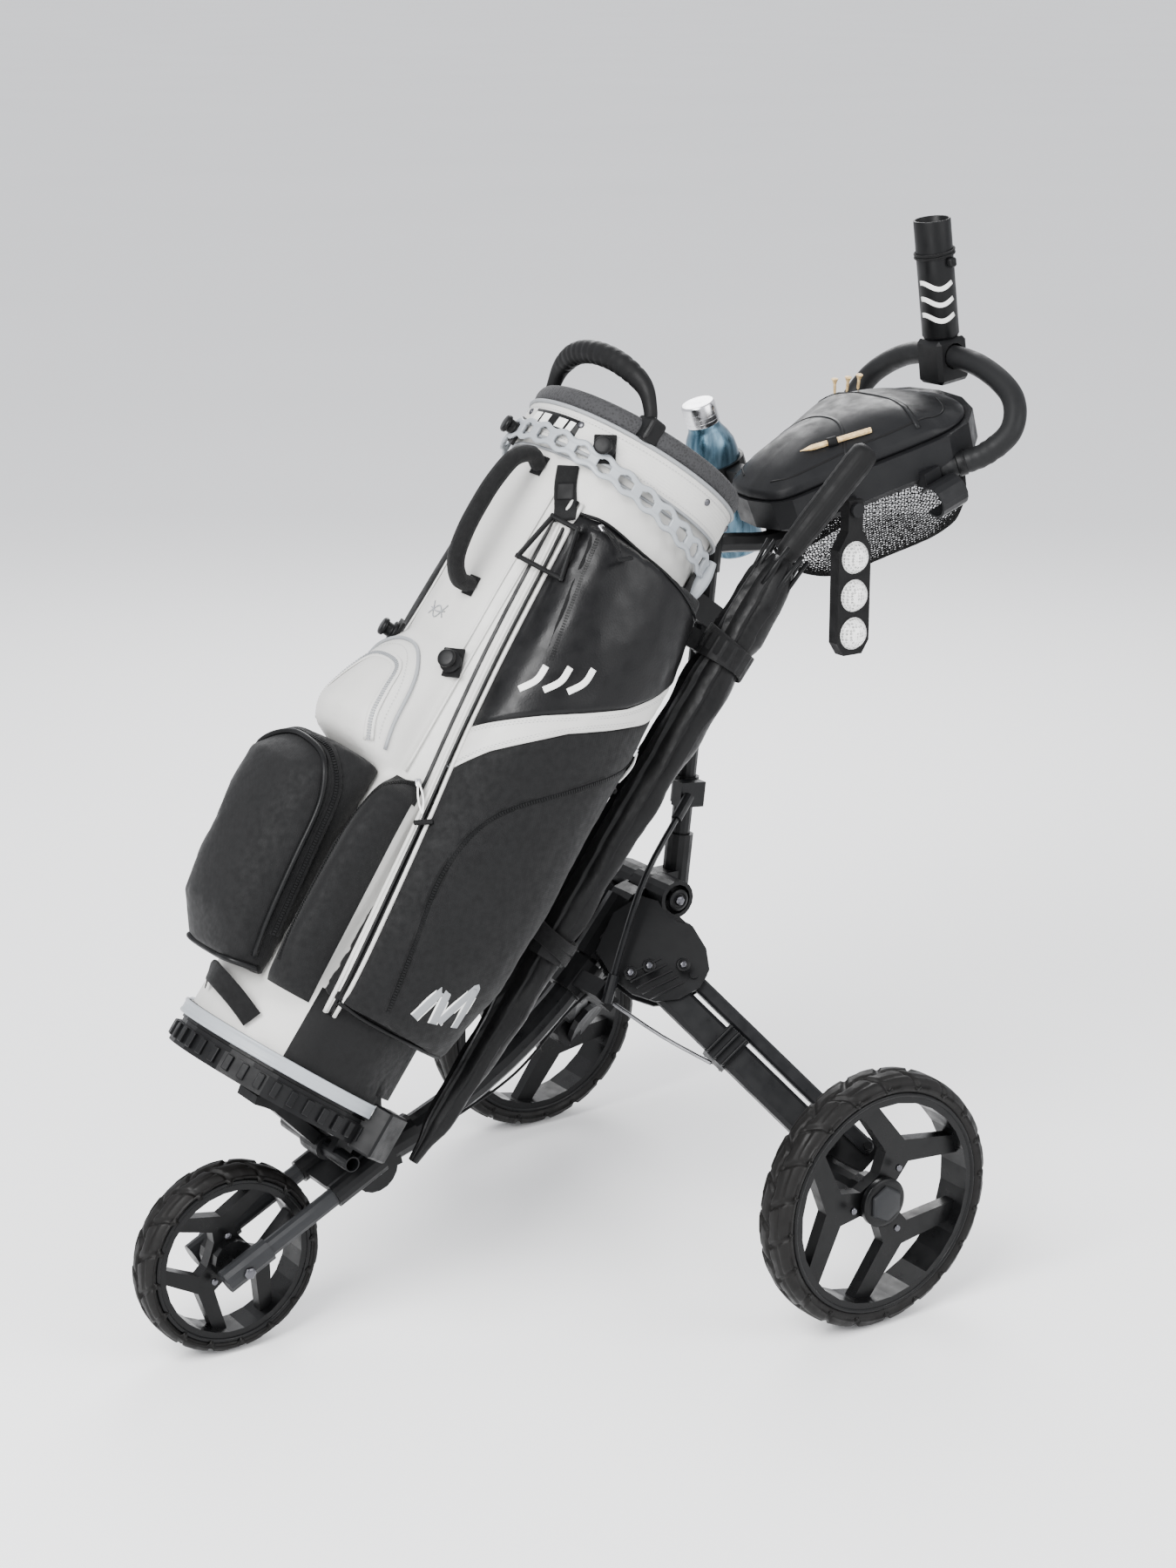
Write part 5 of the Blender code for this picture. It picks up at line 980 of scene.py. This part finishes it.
# ---------------------------------------------------------------- straps of the cart
def holed_band(name, centre, lo, hi, radius, wide, thick, gap, mat, node, body="frame", holes=True):
    """A moulded elastic band round the bag with a row of oblong holes and raised rims."""
    length = rad(hi - lo) * radius
    nx = int(length / 0.0018)
    ny = 15
    verts, faces = [], []
    for i in range(nx + 1):
        x = i / nx
        a = lo + (hi - lo) * x
        arc = x * length
        f = (arc % gap) / gap
        waist = 0.84 - 0.16 * math.cos(2 * math.pi * f) if holes else 1.0
        for j in range(ny + 1):
            y = j / ny - 0.5
            rim = math.exp(-((abs(y) - 0.40) / 0.09) ** 2)
            verts.append(bag(a, centre(a) + y * wide * waist, radius + thick * (0.35 + 0.5 * rim)))
    for i in range(nx):
        arc = (i + 0.5) / nx * length
        f = ((arc % gap) / gap - 0.5) * gap
        for j in range(ny):
            y = ((j + 0.5) / ny - 0.5) * wide
            if (abs(f) / (gap * 0.30)) ** 4 + (abs(y) / (wide * 0.27)) ** 4 < 1 and holes and 8 < i < nx - 9:
                continue
            b = i * (ny + 1) + j
            faces.append((b, b + ny + 1, b + ny + 2, b + 1))
    o = piece(name, verts, faces, mat, body)
    modifier(o, "SMOOTH", factor=0.5, iterations=3)
    modifier(o, "SOLIDIFY", thickness=thick, offset=0.2)
    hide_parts(node)


upper = lambda a: 0.752 - 0.16 * 0.1365 * math.sin(rad(a))
holed_band("upper_strap_band", upper, -212, 38, 0.1385, 0.0275, 0.0040, 0.030, "strap",
    "upper_strap")
holed_band("lower_strap_band", lambda a: 0.012, -150, 20, 0.1335, 0.015, 0.0026, 0.050, "strap",
    "lower_strap", holes=False)
t = aim(bag(41, upper(41) - 0.008, 0.1420), bag_dir(41), BAG_UP)
tube("strap_t_handle", smooth_path([t @ Vector((0, y, 0.002)) for y in (-0.024, -0.012, 0, 0.012,
    0.024)], 6),
     lambda x, a: 0.0048 + 0.0040 * math.sin(math.pi * x), "strap", sides=18)
lathe("strap_screw", [(0.0048, 0), (0.0048, 0.003), (0.003, 0.004)], aim(bag(62, 0.712, 0.1420),
    bag_dir(62)), "screw",
      steps=24)
lathe("lower_strap_knob", [(0.003, -0.004), (0.0095, 0.0), (0.0105, 0.006), (0.0085, 0.012),
    (0.002, 0.014)],
      aim(bag(-150, 0.012, 0.136), bag_dir(-150)), "strap", steps=28)
# webbing grab strap at the bag's foot
arc = smooth_path([bag(-104, 0.050, 0.132), bag(-96, 0.062, 0.144), bag(-84, 0.060, 0.152),
    bag(-70, 0.050, 0.146), bag(-60, 0.038, 0.133)], 8)
ribbon("grab_strap", arc, [bag_dir(-104 + 44 * i / (len(arc) - 1)) for i in range(len(arc))],
    0.024, 0.0018, "webbing")
# comb teeth round the cradle
for k, a in enumerate(range(-150, 22, 9)):
    box(f"cradle_tooth_{k}", (0.0085, 0.006, 0.018), aim(bag(a, -0.016, 0.1325),
        BAG_UP, bag_dir(a)),
        "frame_plastic", bevel=0.0012)


# ---------------------------------------------------------------- the umbrella
tip, neck, end = (Vector(q) + SHIFT for q in ((0.0705, -0.120, 0.203), (0.135, 0.356, 0.872),
    (0.150, 0.468, 0.993)))
path = [tip.lerp(neck, i / 90) + Vector((0.0012 * math.sin(i / 9),
    0, 0.0012 * math.cos(i / 11))) for i in range(91)]


def pleats(t, a):
    base = float(np.interp(t, [0, 0.03, 0.06, 0.30, 0.55, 0.80, 0.93, 0.97, 1],
        [.006, .009, .016, .0245, .0275, .0295, .0290, .0250, .016]))
    fold = (a * 8 / (2 * math.pi) + t * 1.6) % 1.0
    tie = math.exp(-((t - 0.84) / 0.022) ** 2) + math.exp(-((t - 0.36) / 0.022) ** 2)
    slack = 0.05 * math.sin(t * 37 + 3 * a) + 0.04 * math.sin(t * 71 - 2 * a)
    return base * (0.80 + (0.26 + slack) * fold * (1 - 0.6 * tie)) - 0.0010 * tie


o = tube("umbrella_pleats", path, pleats, "umbrella", sides=96)
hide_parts("umbrella_canopy")
axis = (neck - tip).normalized()
for k in range(8):
    a = 2 * math.pi * k / 8
    m = aim(neck, axis)
    p0 = turned(m, 0.0235, a, -0.040)
    p1 = turned(m, 0.0265, a + 0.2, 0.012)
    tube(f"umbrella_rib_end_{k}", [p0, p0.lerp(p1, 0.5), p1], 0.0026, "bag_plastic",
        sides=10)
gpath = smooth_path([neck - axis * 0.01, neck.lerp(end, 0.2), neck.lerp(end, 0.6), end], 12)
grip = tube("umbrella_handle", gpath, lambda t, a: float(np.interp(t, [0, 0.12, 0.16, 0.5, 0.9,
    0.97, 1],
            [.0105, .0115, .0145, .0160, .0170, .0162,
            .011])) + 0.0005 * (math.cos(22 * a) > 0.2 and 0.25 < t < 0.9)
            * (math.sin(t * 120) > -0.4), "rubber", sides=88)
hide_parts("umbrella_grip")
for k, share in enumerate((0.835, 0.36)):
    c = tip.lerp(neck, share)
    m = aim(c, axis)
    for q, w in enumerate((0.0, 0.016)):
        angles = [2 * math.pi * j / 48 for j in range(49)]
        ring = [turned(m, 0.0315, a, w + 0.006 * math.sin(a + q)) for a in angles]
        nr = [turned(m.to_3x3(), 1.0, a) for a in angles]
        ribbon(f"umbrella_tie_{k}_{q}", ring, nr, 0.017 if k == 0 else 0.012, 0.0016, "webbing")

# ---------------------------------------------------------------- console and handle
HALF = [(0.0, -0.014), (0.034, -0.009), (0.054, 0.006), (0.068, 0.050), (0.084, 0.108),
    (0.103, 0.165), (0.113, 0.205),
        (0.108, 0.240), (0.084, 0.266), (0.046, 0.281), (0.0, 0.286)]
edge = smooth_path([(x, y, 0) for x, y in HALF], 8)
edge = edge + [Vector((-q.x, q.y, 0)) for q in edge[-2:0:-1]]
middle = Vector((0, 0.130, 0))
SHARES = [0.02, 0.12, 0.24, 0.36, 0.48, 0.60, 0.70, 0.79, 0.86, 0.91, 0.945, 0.97, 0.985, 1.0]
verts = []
for t in SHARES:
    for q in edge:
        p = middle.lerp(q, t)
        fall = 0.010 + 0.034 * (1 - abs(t) ** 2.6) - 0.006 * (1 / (1 + math.exp(-(p.y
            - 0.205) / 0.004)))
        fall += 0.0012 * math.exp(-((t - 0.80) / 0.02) ** 2)
        if t > 0.985:
            fall = 0.004
        verts.append(CONSOLE @ Vector((p.x, p.y, fall)))
for t, z in ((1.0, 0.0006), (0.97, 0.0006), (0.90, 0.006), (0.5, 0.030), (0.02, 0.036)):
    verts += [CONSOLE @ Vector((*(middle.lerp(q, t)).xy, z)) for q in edge]
rows_ = len(SHARES) + 5
lid = piece("lid_shell", verts, grid_faces(rows_, len(edge), True) + [tuple(range(len(edge)))[::-1],
            tuple(range((rows_ - 1) * len(edge), rows_ * len(edge)))], "console", "lid")
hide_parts("console_lid")
lid_tree = tree(lid)


def lid_at(x, y, lift=0.0):
    hit = lid_tree.ray_cast(CONSOLE @ Vector((x, y, 0.2)), -(CONSOLE.to_3x3() @ Vector((0, 0, 1))),
        0.4)
    up = CONSOLE.to_3x3() @ Vector((0, 0, 1))
    if hit[0] is None:
        return CONSOLE @ Vector((x, y, 0.02 + lift)), up
    return hit[0] + up * lift, hit[1]


def lid_line(points, per=10, lift=0.0):
    q = smooth_path([(x, y, 0) for x, y in points], per)
    got = [lid_at(p.x, p.y, lift) for p in q]
    return [g[0] for g in got], [g[1] for g in got]


pts, nrm = lid_line([(-0.100, 0.182), (-0.05, 0.200), (0, 0.206), (0.05, 0.200), (0.100, 0.182)])
ribbon("lid_ridge", pts, nrm, 0.0060, 0.0032, "console", "lid", lift=-0.0012)
pts, nrm = lid_line([(-0.070, 0.090), (-0.035, 0.118), (0, 0.126), (0.035, 0.118), (0.070, 0.090)])
ribbon("lid_swage", pts, nrm, 0.0042, 0.0012, "console", "lid", lift=-0.0006)
outline = [(0.026, 0.004), (0.046, 0.02), (0.058, 0.06), (0.070, 0.11), (0.086, 0.16),
    (0.094, 0.20), (0.086, 0.235), (0.04, 0.262)]
for k, sgn in enumerate((1, -1)):
    pts, nrm = lid_line([(sgn * x, y) for x, y in outline])
    ribbon(f"lid_seam_{k}", pts, nrm, 0.0022, 0.0008, "rubber", "lid", lift=-0.0005)
for k, (x, y) in enumerate(((-0.086, 0.205), (-0.078, 0.218), (-0.069, 0.229))):
    p, nn = lid_at(x, y)
    d = (Vector((0.25, -0.1, 1.0)) if k else Vector((0.1, -0.1, 1))).normalized()
    lathe(f"tee_{k}", [(0.0006, 0.0), (0.0018, 0.003), (0.0019, 0.014), (0.0036, 0.0185),
        (0.0048, 0.0205), (0.0040, 0.0210)],
          aim(p - nn * 0.001, d), "wood", "lid", 20)
a, b = lid_at(0.034, 0.052, 0.0045)[0], lid_at(0.070, 0.135, 0.0045)[0]
lathe("pencil", [(0.0004, 0), (0.0010, 0.004), (0.0034, 0.014), (0.0036, 0.016),
    (0.0036, (b - a).length)], aim(a, b - a), "wood",
      "lid", 6)
p = a.lerp(b, 0.45)
lathe("pencil_loop", [(0.0052, -0.006), (0.0058, -0.006), (0.0058, 0.006), (0.0052, 0.006)],
    aim(p, b - a), "rubber", "lid", 24)

# screws of the console tray, which keeps its shape
for k, (x, y, z) in enumerate(((0.118, 0.165, -0.050), (0.088, 0.075, -0.030),
        (0.112, 0.200, -0.020))):
    lathe(f"console_screw_{k}", [(0.0042, -0.002), (0.0042, 0.0012), (0.0024, 0.0018)],
        aim(CONSOLE @ Vector((x, y, z)), (1, -0.35, 0.1)),
          "screw", steps=16)
# net: the bag's coarsened surface turned into threads
co, faces = node_mesh("net_bag")
net = piece("net_threads", co, faces, "net")
modifier(net, "REMESH", mode="VOXEL", voxel_size=0.0052, use_smooth_shade=True)
modifier(net, "SMOOTH", factor=0.6, iterations=14)
apply_all(net)
modifier(net, "WIREFRAME", thickness=0.0015, use_even_offset=False, use_replace=True)
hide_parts("net_bag")

# golf balls; their holder keeps its shape
for k in (1, 2, 3):
    lo_, hi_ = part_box(f"golf_ball_{k}")
    c = (lo_ + hi_) / 2
    r = (hi_.z - lo_.z) / 2
    rows = 40
    prof = [(max(1e-5, r * math.sin(math.pi * i / rows)),
        -r * math.cos(math.pi * i / rows)) for i in range(rows + 1)]
    steps = 56
    verts = [c + Vector((q * math.cos(2 * math.pi * j / steps),
        q * math.sin(2 * math.pi * j / steps), h)) for q, h in prof for j in range(steps)]
    gb = piece(f"ball_cover_{k}", verts, grid_faces(rows + 1, steps, True), "ball", "ball_strip")
    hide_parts(f"golf_ball_{k}")
NODES["ball_holder"].data.materials[0] = M["rubber"]

# push handle: one foam-covered loop, thinner where it meets the console
loop = [Vector(q) + SHIFT for q in ((0.096, 0.602, 0.942), (0.118, 0.633, 0.953),
    (0.14, 0.662, 0.968), (0.152, 0.69, 0.996),
        (0.13, 0.708, 1.032), (0.07, 0.711, 1.06), (0, 0.708, 1.068))]
loop = loop + [Vector((-q.x, q.y, q.z)) for q in loop[-2::-1]]
foam = tube("handle_foam", smooth_path(loop, 12), lambda t, a: 0.0132 + 0.0010 * (0.10 < t < 0.90)
            + 0.0004 * math.cos(t * 260) * (not 0.2 < t < 0.8), "grip", sides=28)
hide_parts("handle_loop")
for k, t in enumerate((0.10, 0.90)):
    q = smooth_path(loop, 12)
    i = int(t * (len(q) - 1))
    lathe(f"handle_collar_{k}", [(0.0120, -0.006), (0.0155, -0.005), (0.0155, 0.005),
        (0.0120, 0.006)], aim(q[i], q[i + 1] - q[i - 1]),
          "frame_plastic", steps=32)
foot, head = Vector((0, 0.704, 1.09)) + SHIFT, Vector((0, 0.683, 1.236)) + SHIFT
ax = (head - foot).normalized()
length = (head - foot).length
sleeve = lathe("umbrella_socket", [(0.0205, 0.008), (0.0205, length - 0.001), (0.0212, length),
    (0.0228, length), (0.0232, length - 0.002),
               (0.0232, 0.004), (0.0205, 0.0), (0.006, 0.0), (0.006, 0.008)], aim(foot, ax),
               "frame_plastic", steps=56)
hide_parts("umbrella_tube")
m = aim(foot + ax * length * 0.70, ax)
for k, dz in enumerate((0.0, 0.0042)):
    ring = [turned(m, 0.0246, rad(a), dz + 0.002 * math.sin(rad(a))) for a in range(0, 360, 6)]
    tube(f"socket_cord_{k}", ring, 0.0015, "webbing", sides=10, closed=True)
lathe("socket_toggle", [(0.004, -0.006), (0.0062, -0.004), (0.0062, 0.004), (0.004, 0.006)],
    m @ Matrix.Translation((0.026, 0.004, -0.008)),
      "bag_plastic", steps=20)
for k in range(3):
    angles = range(-100, 20, 8)
    pts = [turned(m, 0.0233, rad(a), -0.035 - 0.02 * k + 0.004 * math.sin(rad(a
        * 3))) for a in angles]
    nr = [turned(m.to_3x3(), 1.0, rad(a)) for a in angles]
    ribbon(f"socket_mark_{k}", pts, nr, 0.006, 0.0004, "print")

# bottle: steel cap, shoulder and painted body
bf, bt = Vector((-0.152, 0.510, 0.818)) + SHIFT, Vector((-0.152, 0.440, 1.011)) + SHIFT
L = (bt - bf).length
mb = aim(bf, bt - bf)
bottle = lathe("bottle_body", [(0.010, 0.0), (0.030, 0.0), (0.0328, 0.003), (0.0330, 0.02),
    (0.0330, L * 0.66), (0.0318, L * 0.72),
               (0.0270, L * 0.78), (0.0222, L * 0.82), (0.0205, L * 0.84), (0.0205, L * 0.86),
               (0.010, L * 0.86)], mb, "bottle",
               "bottle", 56)
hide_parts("bottle")
lathe("bottle_cap", [(0.012, L * 0.86), (0.0212, L * 0.862), (0.0215, L * 0.87),
    (0.0215, L * 0.985), (0.0200, L), (0.010, L)], mb, "chrome",
      "bottle", 56)
for k in range(3):
    lathe(f"bottle_cap_ring_{k}", [(0.0212, L * (0.885 + 0.03 * k)),
        (0.0218, L * (0.888 + 0.03 * k)), (0.0212, L * (0.891 + 0.03 * k))], mb,
          "chrome", "bottle", 56)

# ---------------------------------------------------------------- cart hardware
L1 = Vector((0.680, 0.399, -0.615)).normalized()
N1 = Vector((0.7306, -0.4389, 0.5231)).normalized()
B1 = N1.cross(L1)
for side, sg in (("left", 1), ("right", -1)):
    flip = lambda v: Vector((v[0] * sg, v[1], v[2]))
    p1 = Vector((0.08, 0.206, 0.378)) + SHIFT
    face = p1 + N1 * 0.0180
    # diagonal ribs and boss screws on the wing plate
    for k in range(5):
        a = face + L1 * (-0.012 + 0.010 * k) - B1 * 0.030 + N1 * 0.002
        b = a + B1 * 0.046 + L1 * 0.016
        box(f"wing_rib_{side}_{k}", (0.0022, 0.0045, (b - a).length), aim(flip(a.lerp(b, 0.5)),
            flip(b - a), flip(N1)), "frame_plastic",
            bevel=0.0007)
    for k, (x, y) in enumerate(((0.0, 0.0), (0.028, 0.030), (-0.010, -0.022))):
        c = face + L1 * x + B1 * y + N1 * 0.001
        lathe(f"wing_boss_{side}_{k}", [(0.0085, -0.004), (0.0085, 0.002), (0.0060, 0.0032),
            (0.0056, 0.0018), (0.003, 0.0018)],
              aim(flip(c), flip(N1)), "frame_plastic", steps=28)
        lathe(f"wing_screw_{side}_{k}", [(0.0046, 0.000), (0.0046, 0.0030), (0.0034, 0.0042)],
            aim(flip(c), flip(N1)), "screw", steps=6)
    # stepped rings of the stay collar on the leg
    for k in range(3):
        c = p1 + L1 * (0.120 + 0.012 * k) - N1 * 0.017
        box(f"leg_ring_{side}_{k}", (0.044, 0.044, 0.0045), aim(flip(c), flip(L1), flip(N1)),
            "frame_plastic", f"{side}_leg", 0.003)
# hub and hinge bolts
for k, p in enumerate(((0.0575, 0.1196, 0.448), (-0.0575, 0.1196, 0.448))):
    s = 1 if k == 0 else -1
    lathe(f"hub_bolt_{k}", [(0.0135, -0.002), (0.0135, 0.002), (0.0095, 0.0035), (0.0090, 0.0020),
        (0.005, 0.0020)], aim(p, (s, 0, 0)),
          "frame_plastic", steps=36)
    lathe(f"hub_bolt_head_{k}", [(0.0065, 0.0), (0.0065, 0.005), (0.0045, 0.0062)],
        aim(p, (s, 0, 0)), "screw", steps=6)
for k, (x, y, z, b) in enumerate(((0.0585, -0.4753, 0.1134, "fork"),
    (-0.0585, -0.4753, 0.1134, "fork"), (0.0415, -0.2964, 0.190, "frame"),
                                  (-0.0415, -0.2964, 0.190, "frame"))):
    s = 1 if x > 0 else -1
    lathe(f"pivot_screw_{k}", [(0.0078, -0.002), (0.0078, 0.0014), (0.0050, 0.0030)], aim((x, y, z),
        (s, 0, 0)), "screw", b, 6)
for side in ("left", "right"):
    NODES[f"fork_leg_{side}"].data.materials[0] = M["sleeve"]
# thin trim line along the main tube
cable = smooth_path([(0.022, -0.20, 0.214), (0.030, -0.10, 0.262), (0.034, -0.02, 0.330),
    (0.040, 0.05, 0.372)], 10)
tube("tube_trim_line", cable, 0.0016, "rubber", sides=8)

# ---------------------------------------------------------------- stage, light and camera
bpy.ops.mesh.primitive_plane_add(size=400, location=(0, 0, -0.0005))
floor = bpy.context.object
floor.name = "floor"
fm = Nodes("floor_paint")
fm.put("Base Color", fm.ramp(fm.noise(fm.co, 0.6, 2.0), (0.93, 0.93, 0.93), (0.95, 0.95, 0.95)))
fm.b.inputs["Roughness"].default_value = 0.9
floor.data.materials.append(fm.m)

world = bpy.data.worlds.new("studio")
bpy.context.scene.world = world
world.use_nodes = True
world.node_tree.nodes["Background"].inputs["Color"].default_value = (0.95, 0.96, 1.0, 1)
world.node_tree.nodes["Background"].inputs["Strength"].default_value = 1.25


def lamp(name, at, size, power, target=(0, 0, 0.6)):
    d = bpy.data.lights.new(name, "AREA")
    d.shape, d.size, d.energy = "SQUARE", size, power
    o = bpy.data.objects.new(name, d)
    bpy.context.scene.collection.objects.link(o)
    o.location = at
    o.rotation_euler = (Vector(target) - Vector(at)).to_track_quat("-Z", "Y").to_euler()


lamp("key", (1.2, -2.6, 3.0), 2.2, 300)
lamp("fill", (3.2, 1.6, 2.2), 2.4, 95)
lamp("rim", (-2.4, 1.8, 2.6), 2.0, 95)
lamp("front_low", (2.2, -2.4, 0.7), 1.4, 22)

cam = bpy.data.cameras.new("camera")
cam.lens, cam.sensor_width, cam.sensor_fit = 66.68, 36.0, "AUTO"
co_ = bpy.data.objects.new("camera", cam)
bpy.context.scene.collection.objects.link(co_)
co_.location = (2.7645, -1.8399, 1.5732)
co_.rotation_euler = (Vector((0.2562, -0.1464, 0.6863)) - co_.location).to_track_quat("-Z",
    "Y").to_euler()
bpy.context.scene.camera = co_
